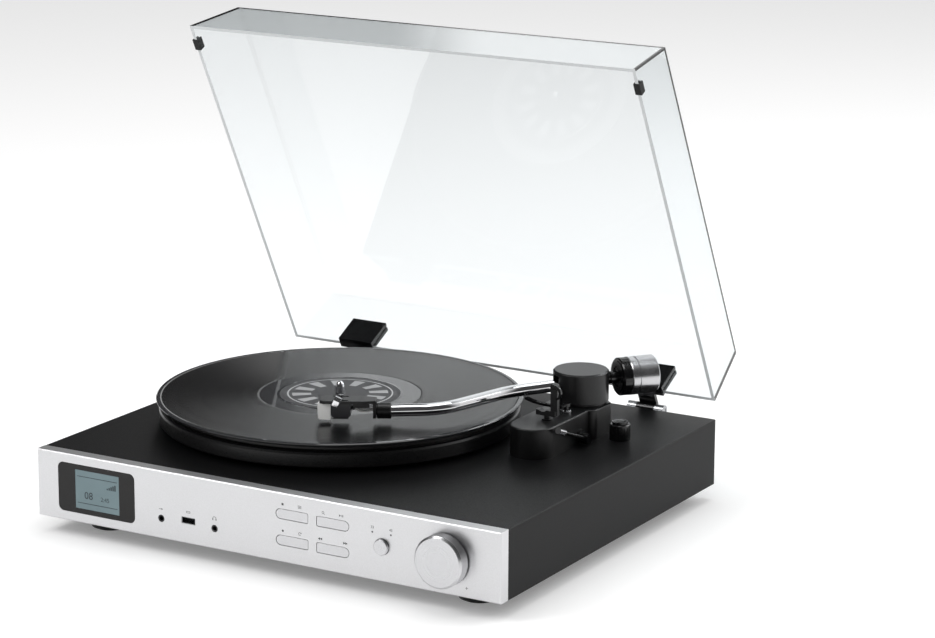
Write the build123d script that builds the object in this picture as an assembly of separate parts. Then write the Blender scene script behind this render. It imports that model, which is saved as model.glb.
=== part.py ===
from build123d import *
from math import atan2, cos, degrees, radians, sin, tan
import os

# Turntable with front controls and a hinged clear dust cover, in millimetres.
# X runs along the front from left to right, Y to the back, Z up from the floor.
# Pieces are laid out about the middle of the plinth, and save() moves them to the frame's origin.

# Overall body
WIDTH = 427.0
DEPTH = 358.6
FOOT_HEIGHT = 14.0
BODY_HEIGHT = 55.3
FASCIA_DEPTH = 11.0
WALL = 3.0
FRAME_Y = 24.05

BODY_BOTTOM = FOOT_HEIGHT
BODY_TOP = FOOT_HEIGHT + BODY_HEIGHT
FRONT_Y = -DEPTH / 2
FASCIA_BACK_Y = FRONT_Y + FASCIA_DEPTH
REAR_Y = DEPTH / 2
SIDE_X = WIDTH / 2
BODY_MIDDLE_Z = (BODY_BOTTOM + BODY_TOP) / 2

# Platter and drive
SPINDLE_X = -49.5
SPINDLE_Y = 13.5
SPINDLE_RADIUS = 3.6
SHANK_RADIUS = 3.0
SPINDLE_TIP_Z = 103.5
PLATTER_RADIUS = 148.5
PLATTER_BOTTOM_Z = 72.6
PLATTER_TOP_Z = 88.0
PLATTER_SHOULDER_Z = 85.9
PLATTER_SEAT_RADIUS = 142.4
PLATTER_SKIRT = 4.0
PLATTER_WEB = 3.5
MAT_RADIUS = 142.0
MAT_THICKNESS = 3.4
RECORD_RADIUS = 150.8
RECORD_THICKNESS = 1.9
RECORD_TOP_Z = PLATTER_TOP_Z + MAT_THICKNESS + RECORD_THICKNESS
LABEL_RADIUS = 50.0
DRIVE_RIM_RADIUS = 88.0
DRIVE_RIM_THICKNESS = 3.0
PULLEY_RADIUS = 7.0
PULLEY_DISTANCE = 116.0
PULLEY_ANGLE = 128.0
BELT_Z = 77.5
BELT_WIDTH = 5.0
BELT_THICKNESS = 0.7
BELT_GAP = 0.3
SHAFT_GAP = 0.05
PULLEY_X = SPINDLE_X + PULLEY_DISTANCE * cos(radians(PULLEY_ANGLE))
PULLEY_Y = SPINDLE_Y + PULLEY_DISTANCE * sin(radians(PULLEY_ANGLE))

# Tonearm
PIVOT_X = 132.5
PIVOT_Y = 92.5
PIVOT_Z = 110.0
HOUSING_RADIUS = 22.8
HOUSING_BOTTOM_Z = 96.4
HOUSING_TOP_Z = 121.0
TUBE_RADIUS = 5.0
TUBE_BORE = 4.2
TUBE_DROP = 7.5
TUBE_BEND_1 = (92.25, 44.5)
TUBE_BEND_2 = (67.2, -20.0)
TUBE_END = (28.8, -40.7)
BEND_RADIUS_1 = 70.0
BEND_RADIUS_2 = 42.0
STYLUS_X = -11.8
STYLUS_Y = -62.2
SHELL_ANGLE = 28.33
COLLAR_Z = 102.4
COLLAR_RADIUS = 6.4
WEIGHT_ANGLE = 51.0
WEIGHT_RADIUS = 15.8
FORCE_DIAL_RADIUS = 15.6
WEIGHT_Z = 111.5
ARM_BASE_WIDTH = 37.0
ARM_BASE_FRONT_Y = 13.5
ARM_BASE_TOP_Z = 93.8
REST_X = 133.5
REST_Y = 30.0
CLIP_X = 142.8
CLIP_Z = 122.4
LIFT_X = 139.0
LIFT_Y = 56.0
LIFT_BAR_RADIUS = 48.0
LIFT_BAR_TOP_Z = 102.4
LEVER_X = 157.0
LEVER_Y = 57.0
LEVER_Z = 74.5
LEVER_SLOPE = 21.0
LEVER_LENGTH = 46.5
ANTI_SKATE_X = 172.8
ANTI_SKATE_Y = 85.0

# Dust cover, drawn closed and then turned open about its hinge pins
LID_WIDTH = 416.0
LID_DEPTH = 338.0
LID_HEIGHT = 60.5
LID_WALL = 2.8
LID_REAR_Y = 175.0
LID_RIM_Z = 70.5
LID_SIDE_TAPER = 6.0
LID_FRONT_TAPER = 22.0
LID_REAR_TAPER = 2.5
LID_OPEN_ANGLE = 62.6
HINGE_X = 143.0
HINGE_Y = 190.9
HINGE_Z = 66.1
HINGE_PIN_RADIUS = 2.0
KNUCKLE_RADIUS = 4.6
HINGE_WIDTH = 34.0

# Front controls, as x and height above the body's bottom
WINDOW_X = -155.5
WINDOW_H = 27.8
WINDOW_WIDTH = 75.0
WINDOW_HEIGHT = 40.5
WINDOW_CORNER = 5.0
LCD_X = -155.0
LCD_H = 27.6
LCD_WIDTH = 43.0
LCD_HEIGHT = 32.0
AUX_X = -92.6
PHONES_X = -42.0
JACK_H = 16.5
JACK_RADIUS = 3.0
JACK_BORE = 1.8
USB_X = -66.7
USB_H = 18.7
USB_WIDTH = 13.2
USB_HEIGHT = 5.8
KEY_LENGTH = 29.6
KEY_HEIGHT = 8.4
KEY_GAP = 0.35
KEY_CORNER = 1.2
KEY_AXIS_DEPTH = 5.8
KEY_PIN_RADIUS = 1.2
KEY_PLACES = {
    "key_1": (29.9, 38.6, -1),
    "key_2": (66.8, 38.2, 1),
    "key_3": (29.9, 17.6, -1),
    "key_4": (66.8, 17.2, 1),
}
SPEED_X = 110.7
SPEED_H = 27.5
SPEED_RADIUS = 6.2
VOLUME_X = 166.0
VOLUME_H = 27.4
VOLUME_RADIUS = 20.5
VOLUME_LENGTH = 12.0
FACE_THICKNESS = 3.5

# Back connections
TERMINAL_Z = 40.0
PHONO_X = 60.0
PHONO_SPACING = 14.0
SPEAKER_X = -20.0
AERIAL_X = 105.0
INLET_X = -106.0

FOOT_X = 172.0
FOOT_Y = 138.0
FOOT_RADIUS = 19.0


def save(name, shape):
    """Writes one piece, moved so that the origin is under the middle of the whole object."""
    export_step(Pos(0, -FRAME_Y, 0) * shape, f"parts/{name}.step")


def post(radius, bottom, top, x=0.0, y=0.0):
    """An upright cylinder between two heights."""
    return Pos(x, y, (bottom + top) / 2) * Cylinder(radius, top - bottom)


def tube(outer, inner, bottom, top, x=0.0, y=0.0):
    """An upright tube between two heights."""
    return post(outer, bottom, top, x, y) - post(inner, bottom - 1, top + 1, x, y)


def block(x_range, y_range, z_range):
    """A box between three pairs of limits."""
    size = [high - low for low, high in (x_range, y_range, z_range)]
    middle = [(high + low) / 2 for low, high in (x_range, y_range, z_range)]
    return Pos(*middle) * Box(*size)


def bar_y(radius, front, back, x, z):
    """A cylinder along Y between two depths."""
    return Pos(x, (front + back) / 2, z) * Rot(90, 0, 0) * Cylinder(radius, back - front)


def bar_x(radius, left, right, y, z):
    """A cylinder along X between two sides."""
    return Pos((left + right) / 2, y, z) * Rot(0, 90, 0) * Cylinder(radius, right - left)


def front_slab(sketch, front, back, x, height):
    """A front-view outline made solid between two depths."""
    plane = Plane(origin=(x, back, BODY_BOTTOM + height), x_dir=(1, 0, 0), z_dir=(0, -1, 0))
    return extrude(plane * sketch, amount=back - front)


def revolved(points):
    """A solid of revolution about Z from half-profile points of radius and height."""
    return revolve(Plane.XZ * make_face(Polyline(*points, close=True)), axis=Axis.Z)


def group(*solids):
    """Separate solids kept together in one piece file."""
    return Compound([solid for shape in solids for solid in shape.solids()])


def key_outline(side, gap):
    """A D-shaped key: softly cornered at one end and round at the other, shrunk by a gap."""
    half_length = KEY_LENGTH / 2 - gap
    radius = KEY_HEIGHT / 2 - gap
    square_length = half_length - radius / 2
    body = Pos(-side * (half_length - square_length)) * RectangleRounded(
        2 * square_length, 2 * radius, KEY_CORNER + KEY_GAP - gap)
    middle = Pos(side * (half_length - radius) / 2) * Rectangle(half_length - radius, 2 * radius)
    return body + middle + Pos(side * (half_length - radius), 0) * Circle(radius)


# Body

def make_plinth():
    top = BODY_TOP - WALL
    shell = block((-SIDE_X, SIDE_X), (FASCIA_BACK_Y, REAR_Y), (BODY_BOTTOM, BODY_TOP))
    shell = fillet(shell.edges().filter_by(Axis.Z).group_by(Axis.Y)[-1], 2.0)
    shell = chamfer(shell.edges().group_by(Axis.Z)[-1], 0.6)
    shell -= block((-SIDE_X + WALL, SIDE_X - WALL), (FASCIA_BACK_Y + WALL, REAR_Y - WALL),
                   (BODY_BOTTOM - 1, top))
    shell += make_plinth_ribs()
    shell -= post(13.2, top - 20, BODY_TOP + 1, SPINDLE_X, SPINDLE_Y)
    shell -= post(9.5, top - 20, BODY_TOP + 1, PULLEY_X, PULLEY_Y)
    for angle in (30, 150, 270):
        x = PULLEY_X + 22 * cos(radians(angle))
        y = PULLEY_Y + 22 * sin(radians(angle))
        shell -= post(3.6, top - 20, BODY_TOP + 1, x, y)
    shell -= post(5.2, top - 20, BODY_TOP + 1, PIVOT_X, PIVOT_Y)
    shell -= post(2.3, top - 20, BODY_TOP + 1, LIFT_X, LIFT_Y)
    shell -= post(3.1, top - 20, BODY_TOP + 1, ANTI_SKATE_X, ANTI_SKATE_Y)
    shell -= block((-150, 190), (FASCIA_BACK_Y - 1, FASCIA_BACK_Y + WALL + 1), (18, 65))
    shell -= block((-82, 130), (REAR_Y - WALL - 1, REAR_Y + 1), (26, 54))
    for x in (-HINGE_X, HINGE_X):
        for offset in (-10, 10):
            shell -= bar_y(1.6, REAR_Y - WALL - 1, REAR_Y + 1, x + offset, 45)
    shell -= block((INLET_X - 14, INLET_X + 14), (REAR_Y - WALL - 1, REAR_Y + 1), (30, 50))
    return shell


def make_plinth_ribs():
    """Moulded stiffening ribs under the top and screw pillars for the base cover."""
    top = BODY_TOP - WALL
    ribs = Part()
    for x in (-165, 20, 95):
        ribs += block((x - 1, x + 1), (FASCIA_BACK_Y + WALL, REAR_Y - WALL), (top - 9, top + 1))
    for y in (-95, 140):
        ribs += block((-SIDE_X + WALL, SIDE_X - WALL), (y - 1, y + 1), (top - 9, top + 1))
    for x, y in screw_places():
        ribs += tube(5.0, 1.4, BODY_BOTTOM + 2.6, top + 1, x, y)
    return ribs


def screw_places():
    return [(x, y) for x in (-195, 0, 195) for y in (-150, 160)]


def make_base_cover():
    gap = 0.3
    sheet = block((-SIDE_X + WALL + gap, SIDE_X - WALL - gap),
                  (FASCIA_BACK_Y + WALL + gap, REAR_Y - WALL - gap),
                  (BODY_BOTTOM + 0.4, BODY_BOTTOM + 2.5))
    slot = Pos(0, 0, BODY_BOTTOM) * extrude(SlotOverall(42, 4), amount=8, both=True)
    for column in range(3):
        for row in range(7):
            sheet -= Pos(-70 + column * 52, -36 + row * 12, 0) * slot
    for x, y in screw_places():
        sheet -= post(1.9, BODY_BOTTOM - 1, BODY_BOTTOM + 4, x, y)
    for x, y in foot_places():
        sheet -= post(2.6, BODY_BOTTOM - 1, BODY_BOTTOM + 4, x, y)
    return sheet


def make_base_screws():
    screws = []
    for x, y in screw_places():
        head = post(3.4, BODY_BOTTOM - 1.6, BODY_BOTTOM + 0.4, x, y)
        head -= Pos(x, y, BODY_BOTTOM - 1.6) * Box(3.6, 0.8, 1.6)
        head -= Pos(x, y, BODY_BOTTOM - 1.6) * Box(0.8, 3.6, 1.6)
        screws.append(head + post(1.4, BODY_BOTTOM + 0.3, BODY_BOTTOM + 14, x, y))
    return group(*screws)


def foot_places():
    return [(x, y) for x in (-FOOT_X, FOOT_X) for y in (-FOOT_Y, FOOT_Y)]


def make_feet():
    profile = [(2.0, 3.0), (14.0, 3.0), (14.0, 1.6), (16.4, 1.6), (FOOT_RADIUS, 12.5),
               (FOOT_RADIUS, FOOT_HEIGHT), (2.4, FOOT_HEIGHT), (2.4, FOOT_HEIGHT + 5),
               (2.0, FOOT_HEIGHT + 5)]
    foot = revolved(profile)
    return group(*[Pos(x, y, 0) * foot for x, y in foot_places()])


def make_foot_pads():
    pad = chamfer(post(13.6, 0, 2.9).edges().group_by(Axis.Z)[0], 0.6)
    return group(*[Pos(x, y, 0) * pad for x, y in foot_places()])


def make_front_fascia():
    plate = block((-SIDE_X, SIDE_X), (FRONT_Y, FASCIA_BACK_Y), (BODY_BOTTOM, BODY_TOP))
    plate = chamfer(plate.edges().group_by(Axis.Y)[0], 0.8)
    inner_front = FRONT_Y + FACE_THICKNESS
    plate -= block((-SIDE_X + WALL, SIDE_X - WALL), (inner_front, FASCIA_BACK_Y + 1),
                   (BODY_BOTTOM + WALL, BODY_TOP - WALL))
    through = (FRONT_Y - 1, inner_front + 1)
    window = RectangleRounded(WINDOW_WIDTH, WINDOW_HEIGHT, WINDOW_CORNER)
    plate -= front_slab(window, *through, WINDOW_X, WINDOW_H)
    for x in (AUX_X, PHONES_X):
        plate -= front_slab(Circle(JACK_RADIUS), *through, x, JACK_H)
    plate -= front_slab(Rectangle(USB_WIDTH, USB_HEIGHT), *through, USB_X, USB_H)
    for x, height, side in KEY_PLACES.values():
        plate -= front_slab(key_outline(side, 0), *through, x, height)
        plate += make_key_ears(x, height)
    plate -= front_slab(Circle(SPEED_RADIUS + 0.3), *through, SPEED_X, SPEED_H)
    plate -= front_slab(Circle(4.2), *through, VOLUME_X, VOLUME_H)
    return plate


def make_key_ears(x, height):
    """Two drilled lugs behind the fascia that hold a key's upright pivot pin."""
    ears = Part()
    y = FRONT_Y + KEY_AXIS_DEPTH
    middle = BODY_BOTTOM + height
    for side in (-1, 1):
        low, high = sorted((middle + side * 4.9, middle + side * 6.1))
        ears += block((x - 2.4, x + 2.4), (FRONT_Y + FACE_THICKNESS - 0.2, y + 2.2), (low, high))
    return ears - post(KEY_PIN_RADIUS + SHAFT_GAP, middle - 8, middle + 8, x, y)


def make_display_window():
    outline = RectangleRounded(WINDOW_WIDTH - 0.2, WINDOW_HEIGHT - 0.2, WINDOW_CORNER - 0.1)
    pane = front_slab(outline, FRONT_Y + 0.3, FRONT_Y + 2.3, WINDOW_X, WINDOW_H)
    flange = front_slab(RectangleRounded(WINDOW_WIDTH + 3, WINDOW_HEIGHT + 3, WINDOW_CORNER),
                        FRONT_Y + FACE_THICKNESS, FRONT_Y + FACE_THICKNESS + 1.2,
                        WINDOW_X, WINDOW_H)
    neck = front_slab(outline, FRONT_Y + 2.2, FRONT_Y + FACE_THICKNESS + 0.1, WINDOW_X, WINDOW_H)
    opening = front_slab(Rectangle(LCD_WIDTH, LCD_HEIGHT), FRONT_Y, FRONT_Y + 8, LCD_X, LCD_H)
    return pane + neck + flange - opening


def make_lcd_module():
    glass = front_slab(Rectangle(LCD_WIDTH - 0.2, LCD_HEIGHT - 0.2), FRONT_Y + 0.5, FRONT_Y + 4.7,
                       LCD_X, LCD_H)
    carrier = front_slab(Rectangle(LCD_WIDTH + 12, LCD_HEIGHT + 6), FRONT_Y + 4.7, FRONT_Y + 7.2,
                         LCD_X, LCD_H)
    return glass + carrier


# Sockets and controls on the front

def make_jack(x):
    back = FASCIA_BACK_Y + 5
    nose = front_slab(Circle(JACK_RADIUS - 0.1), FRONT_Y + 0.2, FRONT_Y + FACE_THICKNESS, x, JACK_H)
    body = front_slab(Rectangle(9, 8), FRONT_Y + FACE_THICKNESS, back, x, JACK_H)
    return nose + body - front_slab(Circle(JACK_BORE), FRONT_Y - 1, back - 3, x, JACK_H)


def make_usb_socket():
    """A folded steel shell with a plastic tongue along its top."""
    back = FASCIA_BACK_Y + 6
    shell = front_slab(Rectangle(USB_WIDTH - 0.2, USB_HEIGHT - 0.2), FRONT_Y + 0.3, back, USB_X, USB_H)
    shell -= front_slab(Rectangle(USB_WIDTH - 1, USB_HEIGHT - 1), FRONT_Y - 1, back - 1, USB_X, USB_H)
    tongue = front_slab(Rectangle(USB_WIDTH - 2.6, 0.45), FRONT_Y + 1.3, back - 0.5, USB_X,
                        USB_H + USB_HEIGHT / 2 - 0.72)
    return shell + tongue


def make_key(x, height, side):
    """A key flush with the fascia that rocks about an upright pin moulded behind it."""
    cap = front_slab(key_outline(side, KEY_GAP), FRONT_Y, FRONT_Y + 5, x, height)
    cap = fillet(cap.edges().group_by(Axis.Y)[0], 0.3)
    middle = BODY_BOTTOM + height
    pin = post(KEY_PIN_RADIUS, middle - 6.2, middle + 6.2, x, FRONT_Y + KEY_AXIS_DEPTH)
    web = block((x - 1.2, x + 1.2), (FRONT_Y + 4.8, FRONT_Y + KEY_AXIS_DEPTH), (middle - 3.6, middle + 3.6))
    return cap + pin + web


def make_key_board():
    """The circuit board behind the keys, with two small switches behind every key."""
    front = FRONT_Y + 8.6
    board = block((8, 128), (front, front + 1.6), (BODY_BOTTOM + 6, BODY_BOTTOM + 50))
    switches = Part()
    for x, height, _ in KEY_PLACES.values():
        for offset in (-9, 9):
            switches += front_slab(Rectangle(5, 5), front - 2.0, front, x + offset, height)
    shaft_hole = front_slab(Circle(3.6), front - 1, front + 3, SPEED_X, SPEED_H)
    return board + switches - shaft_hole


def make_speed_switch():
    front = FRONT_Y + 8.4
    case = front_slab(Rectangle(16, 16), front, front + 8, SPEED_X, SPEED_H)
    case -= front_slab(Circle(3.0 + SHAFT_GAP), front - 1, front + 6, SPEED_X, SPEED_H)
    return case - block((0, 128.5), (front - 1, front + 1.8), (BODY_BOTTOM, BODY_TOP))


def make_speed_knob():
    """A short plain round knob on its switch shaft."""
    front = FRONT_Y - 2.8
    body = front_slab(Circle(SPEED_RADIUS), front, FRONT_Y + 5, SPEED_X, SPEED_H)
    body = fillet(body.edges().group_by(Axis.Y)[0], 0.6)
    return body + front_slab(Circle(3.0), FRONT_Y + 4.9, FRONT_Y + 13, SPEED_X, SPEED_H)


def make_volume_encoder():
    front = FRONT_Y + 6
    case = front_slab(Rectangle(14, 14), front + 5, front + 14, VOLUME_X, VOLUME_H)
    case += front_slab(Circle(4.4), FRONT_Y + FACE_THICKNESS + 0.3, front + 5, VOLUME_X, VOLUME_H)
    case -= front_slab(Circle(3.0 + SHAFT_GAP), FRONT_Y, front + 12.5, VOLUME_X, VOLUME_H)
    return case


def make_volume_shaft():
    shaft = front_slab(Circle(3.0), FRONT_Y - 8, FRONT_Y + 16, VOLUME_X, VOLUME_H)
    return shaft


def make_volume_knob():
    """A turned knob with a bevelled front rim and a hollow back round its shaft."""
    front = FRONT_Y - VOLUME_LENGTH
    back = FRONT_Y - 1.6
    knob = front_slab(Circle(VOLUME_RADIUS), front, back, VOLUME_X, VOLUME_H)
    knob = chamfer(knob.edges().group_by(Axis.Y)[0], 1.6)
    knob = fillet(knob.edges().group_by(Axis.Y)[-1], 0.5)
    knob -= front_slab(Circle(VOLUME_RADIUS - 3) - Circle(6), back - 7, back + 1, VOLUME_X, VOLUME_H)
    return knob - front_slab(Circle(3.0 + SHAFT_GAP), front + 3.5, back + 1, VOLUME_X, VOLUME_H)


# Electronics

def make_main_board():
    bottom = BODY_BOTTOM + 8
    board = block((-130, 60), (55, 150), (bottom, bottom + 1.6))
    for x, y in ((-122, 62), (52, 62), (-122, 143), (52, 143)):
        board += tube(3.5, 1.3, BODY_BOTTOM + 2.5, bottom + 0.1, x, y)
    board += block((-60, -30), (95, 105), (bottom + 1.5, bottom + 26))
    for x, y, radius, height in ((-100, 90, 8, 25), (-80, 90, 8, 25), (20, 90, 6, 16), (35, 90, 6, 16)):
        board += post(radius, bottom + 1.5, bottom + height, x, y)
    return board


def make_power_supply():
    bottom = BODY_BOTTOM + 8
    board = block((-200, -150), (50, 150), (bottom, bottom + 1.6))
    for y in (56, 144):
        board += tube(3.5, 1.3, BODY_BOTTOM + 2.5, bottom + 0.1, -175, y)
    board += block((-192, -162), (95, 122), (bottom + 1.5, bottom + 24))
    board += block((-196, -189), (126, 146), (bottom + 1.5, bottom + 28))
    board += post(9, bottom + 1.5, bottom + 30, -175, 76)
    return board


# Platter and drive

def make_bearing_well():
    """The flanged brass bearing that hangs through the plinth and carries the spindle."""
    well = post(12.8, 32, BODY_TOP, SPINDLE_X, SPINDLE_Y)
    well -= post(9.5, 31, BODY_TOP - 5, SPINDLE_X, SPINDLE_Y)
    well += tube(8, SHANK_RADIUS + SHAFT_GAP, 36, BODY_TOP + 1.5, SPINDLE_X, SPINDLE_Y)
    well += tube(18, 12, BODY_TOP, BODY_TOP + 1.2, SPINDLE_X, SPINDLE_Y)
    well -= post(SHANK_RADIUS + SHAFT_GAP, 36, BODY_TOP + 5, SPINDLE_X, SPINDLE_Y)
    return well + post(8, 32, 36.1, SPINDLE_X, SPINDLE_Y)


def make_spindle():
    profile = [(0, 36.4), (2.4, 36.4), (SHANK_RADIUS, 37.6), (SHANK_RADIUS, RECORD_TOP_Z + 0.35),
               (SPINDLE_RADIUS, RECORD_TOP_Z + 0.35), (SPINDLE_RADIUS, SPINDLE_TIP_Z - 4.5),
               (3.0, SPINDLE_TIP_Z - 1.9), (1.7, SPINDLE_TIP_Z - 0.4), (0, SPINDLE_TIP_Z)]
    return Pos(SPINDLE_X, SPINDLE_Y, 0) * revolved(profile)


def make_platter():
    """A cast dish: rolled outer skirt, thin web, drive rim for the belt and a stiff hub."""
    web = PLATTER_TOP_Z - PLATTER_WEB
    skirt_inner = PLATTER_RADIUS - PLATTER_SKIRT
    rim_inner = DRIVE_RIM_RADIUS - DRIVE_RIM_THICKNESS
    bore = SHANK_RADIUS + 0.02
    shoulder = PLATTER_SHOULDER_Z
    profile = [(bore, 71.3), (9, 71.3), (9, web), (rim_inner, web),
               (rim_inner, BELT_Z - 4), (DRIVE_RIM_RADIUS, BELT_Z - 4), (DRIVE_RIM_RADIUS, web - 2),
               (skirt_inner, web - 2), (skirt_inner, PLATTER_BOTTOM_Z), (PLATTER_RADIUS - 1.2, PLATTER_BOTTOM_Z),
               (PLATTER_RADIUS, PLATTER_BOTTOM_Z + 1.2), (PLATTER_RADIUS, shoulder - 2.4),
               (PLATTER_RADIUS - 0.7, shoulder - 0.7), (PLATTER_RADIUS - 2.4, shoulder),
               (PLATTER_SEAT_RADIUS, shoulder), (PLATTER_SEAT_RADIUS, PLATTER_TOP_Z), (bore, PLATTER_TOP_Z)]
    dish = revolved(profile)
    for index in range(6):
        rib = block((7, rim_inner + 1), (-1.2, 1.2), (web - 5, web + 0.5))
        dish += Rot(0, 0, 60 * index) * rib
    return Pos(SPINDLE_X, SPINDLE_Y, 0) * dish


def make_mat():
    bottom = PLATTER_TOP_Z
    top = PLATTER_TOP_Z + MAT_THICKNESS
    sheet = tube(MAT_RADIUS, SPINDLE_RADIUS + 0.05, bottom, top)
    for radius in (62, 90, 118):
        sheet -= tube(radius + 1.2, radius - 1.2, top - 0.6, top + 1)
    return Pos(SPINDLE_X, SPINDLE_Y, 0) * sheet


def make_record():
    """A long-playing disc: raised rim bead, groove area and raised label seat."""
    bottom = PLATTER_TOP_Z + MAT_THICKNESS
    top = RECORD_TOP_Z
    bore = SPINDLE_RADIUS + 0.05
    profile = [(bore, bottom), (RECORD_RADIUS - 0.8, bottom), (RECORD_RADIUS, bottom + 0.7),
               (RECORD_RADIUS, top - 0.7), (RECORD_RADIUS - 0.8, top), (RECORD_RADIUS - 3.4, top),
               (RECORD_RADIUS - 4.4, top - 0.25), (68, top - 0.25), (66.5, top - 0.35),
               (LABEL_RADIUS + 2, top - 0.35), (LABEL_RADIUS, top - 0.1), (bore, top - 0.1)]
    return Pos(SPINDLE_X, SPINDLE_Y, 0) * revolved(profile)


def make_record_label():
    label = tube(LABEL_RADIUS - 0.3, SPINDLE_RADIUS + 0.05, RECORD_TOP_Z - 0.1, RECORD_TOP_Z + 0.05)
    return Pos(SPINDLE_X, SPINDLE_Y, 0) * label


def make_motor():
    """A small can motor with a flange, hung under the plinth on three soft mounts."""
    top = BODY_TOP - WALL - 4
    can = post(17, top - 25, top - 2, PULLEY_X, PULLEY_Y)
    can = fillet(can.edges().group_by(Axis.Z)[0], 2)
    can += post(26, top - 2, top, PULLEY_X, PULLEY_Y)
    can += post(5, top - 0.1, top + 2, PULLEY_X, PULLEY_Y)
    for x, y in motor_mount_places():
        can -= post(3.2, top - 3, top + 1, x, y)
    return can - post(1.0 + SHAFT_GAP, top - 20, top + 3, PULLEY_X, PULLEY_Y)


def motor_mount_places():
    return [(PULLEY_X + 22 * cos(radians(a)), PULLEY_Y + 22 * sin(radians(a))) for a in (30, 150, 270)]


def make_motor_mounts():
    """Rubber grommets between the motor flange and the plinth."""
    top = BODY_TOP - WALL - 4
    profile = [(1.7, top - 4), (4.8, top - 4), (4.8, top - 2.1), (3.1, top - 2.1), (3.1, top + 0.1),
               (4.8, top + 0.1), (4.8, top + 4), (3.5, top + 4), (3.5, top + 5.5), (1.7, top + 5.5)]
    return group(*[Pos(x, y, 0) * revolved(profile) for x, y in motor_mount_places()])


def make_motor_screws():
    screws = []
    for x, y in motor_mount_places():
        screws.append(post(3.4, BODY_TOP - 1.4, BODY_TOP + 0.8, x, y) + post(1.6, 56, BODY_TOP - 1, x, y))
    return group(*screws)


def make_pulley():
    """A brass pulley with a crowned upper step for the belt and a smaller step under it."""
    profile = [(0, 65.4), (2.4, 65.4), (2.4, 71), (5.2, 71), (5.2, BELT_Z - 4), (PULLEY_RADIUS + 1, BELT_Z - 4),
               (PULLEY_RADIUS + 1, BELT_Z - 3.2), (PULLEY_RADIUS - 0.2, BELT_Z - 3.2), (PULLEY_RADIUS, BELT_Z),
               (PULLEY_RADIUS - 0.2, BELT_Z + 3.2), (PULLEY_RADIUS + 1, BELT_Z + 3.2),
               (PULLEY_RADIUS + 1, BELT_Z + 4), (0, BELT_Z + 4)]
    shaft = post(1.0, 46, 66)
    return Pos(PULLEY_X, PULLEY_Y, 0) * (revolved(profile) + shaft)


def belt_outline(inner_rim, inner_pulley):
    """Two arcs, round the drive rim and the pulley, joined by their outer tangents."""
    tilt = degrees(atan2(inner_rim - inner_pulley, (PULLEY_DISTANCE**2 - (inner_rim - inner_pulley)**2)**0.5))
    angle = radians(90 - tilt)
    rim_top = (inner_rim * cos(angle), inner_rim * sin(angle))
    pulley_top = (PULLEY_DISTANCE + inner_pulley * cos(angle), inner_pulley * sin(angle))
    rim_low = (rim_top[0], -rim_top[1])
    pulley_low = (pulley_top[0], -pulley_top[1])
    outline = [Line(rim_top, pulley_top), Line(pulley_low, rim_low)]
    outline.append(ThreePointArc(pulley_top, (PULLEY_DISTANCE + inner_pulley, 0), pulley_low))
    outline.append(ThreePointArc(rim_low, (-inner_rim, 0), rim_top))
    return make_face(outline)


def make_drive_belt():
    outer = belt_outline(DRIVE_RIM_RADIUS + BELT_GAP + BELT_THICKNESS, PULLEY_RADIUS + BELT_GAP + BELT_THICKNESS)
    inner = belt_outline(DRIVE_RIM_RADIUS + BELT_GAP, PULLEY_RADIUS + BELT_GAP)
    loop = extrude(outer - inner, amount=BELT_WIDTH)
    return Pos(SPINDLE_X, SPINDLE_Y, BELT_Z - BELT_WIDTH / 2) * Rot(0, 0, PULLEY_ANGLE) * loop


# Arm base and its furniture

def arm_base_outline(shrink):
    """A long rounded foot that widens into a round seat under the arm's pivot."""
    half = ARM_BASE_WIDTH / 2 - shrink
    strip = Pos(PIVOT_X, (ARM_BASE_FRONT_Y + PIVOT_Y) / 2) * Rectangle(2 * half, PIVOT_Y - ARM_BASE_FRONT_Y)
    seat = Pos(PIVOT_X, PIVOT_Y - 4) * RectangleRounded(47 - 2 * shrink, 34 - 2 * shrink, 6 - shrink)
    return strip + Pos(PIVOT_X, ARM_BASE_FRONT_Y) * Circle(half) + seat + Pos(PIVOT_X, PIVOT_Y) * Circle(23.5 - shrink)


def make_arm_base():
    base = Pos(0, 0, BODY_TOP) * extrude(arm_base_outline(0), amount=ARM_BASE_TOP_Z - BODY_TOP)
    base = fillet(base.edges().group_by(Axis.Z)[-1], 1.2)
    base -= Pos(0, 0, BODY_TOP - 0.1) * extrude(arm_base_outline(2.5), amount=ARM_BASE_TOP_Z - BODY_TOP - 2.4)
    base += tube(9, 5.2, BODY_TOP, ARM_BASE_TOP_Z - 2, PIVOT_X, PIVOT_Y)
    base -= post(5.2, BODY_TOP - 1, ARM_BASE_TOP_Z + 1, PIVOT_X, PIVOT_Y)
    base += tube(6.5, 2.3, BODY_TOP, ARM_BASE_TOP_Z - 1, LIFT_X, LIFT_Y)
    base -= post(4.35, ARM_BASE_TOP_Z - 14, ARM_BASE_TOP_Z + 1, LIFT_X, LIFT_Y)
    base -= post(2.3, BODY_TOP - 1, ARM_BASE_TOP_Z + 1, LIFT_X, LIFT_Y)
    base += bar_x(6.0, 148.6, LEVER_X - 3.4, LEVER_Y, LEVER_Z + 1.2)
    base -= bar_x(2.0 + SHAFT_GAP, 140, LEVER_X, LEVER_Y, LEVER_Z)
    return base


def make_arm_collar():
    """The bright ring and fixed pivot column that carry the arm's bearing housing."""
    ring = tube(21, 3.0 + SHAFT_GAP, ARM_BASE_TOP_Z, HOUSING_BOTTOM_Z - 0.3)
    ring = fillet(ring.edges().group_by(Axis.Z)[-1].sort_by(SortBy.RADIUS)[-1], 0.7)
    column = tube(5.15, 3.0 + SHAFT_GAP, BODY_TOP - 8, ARM_BASE_TOP_Z + 0.5)
    return Pos(PIVOT_X, PIVOT_Y, 0) * (ring + column)


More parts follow.
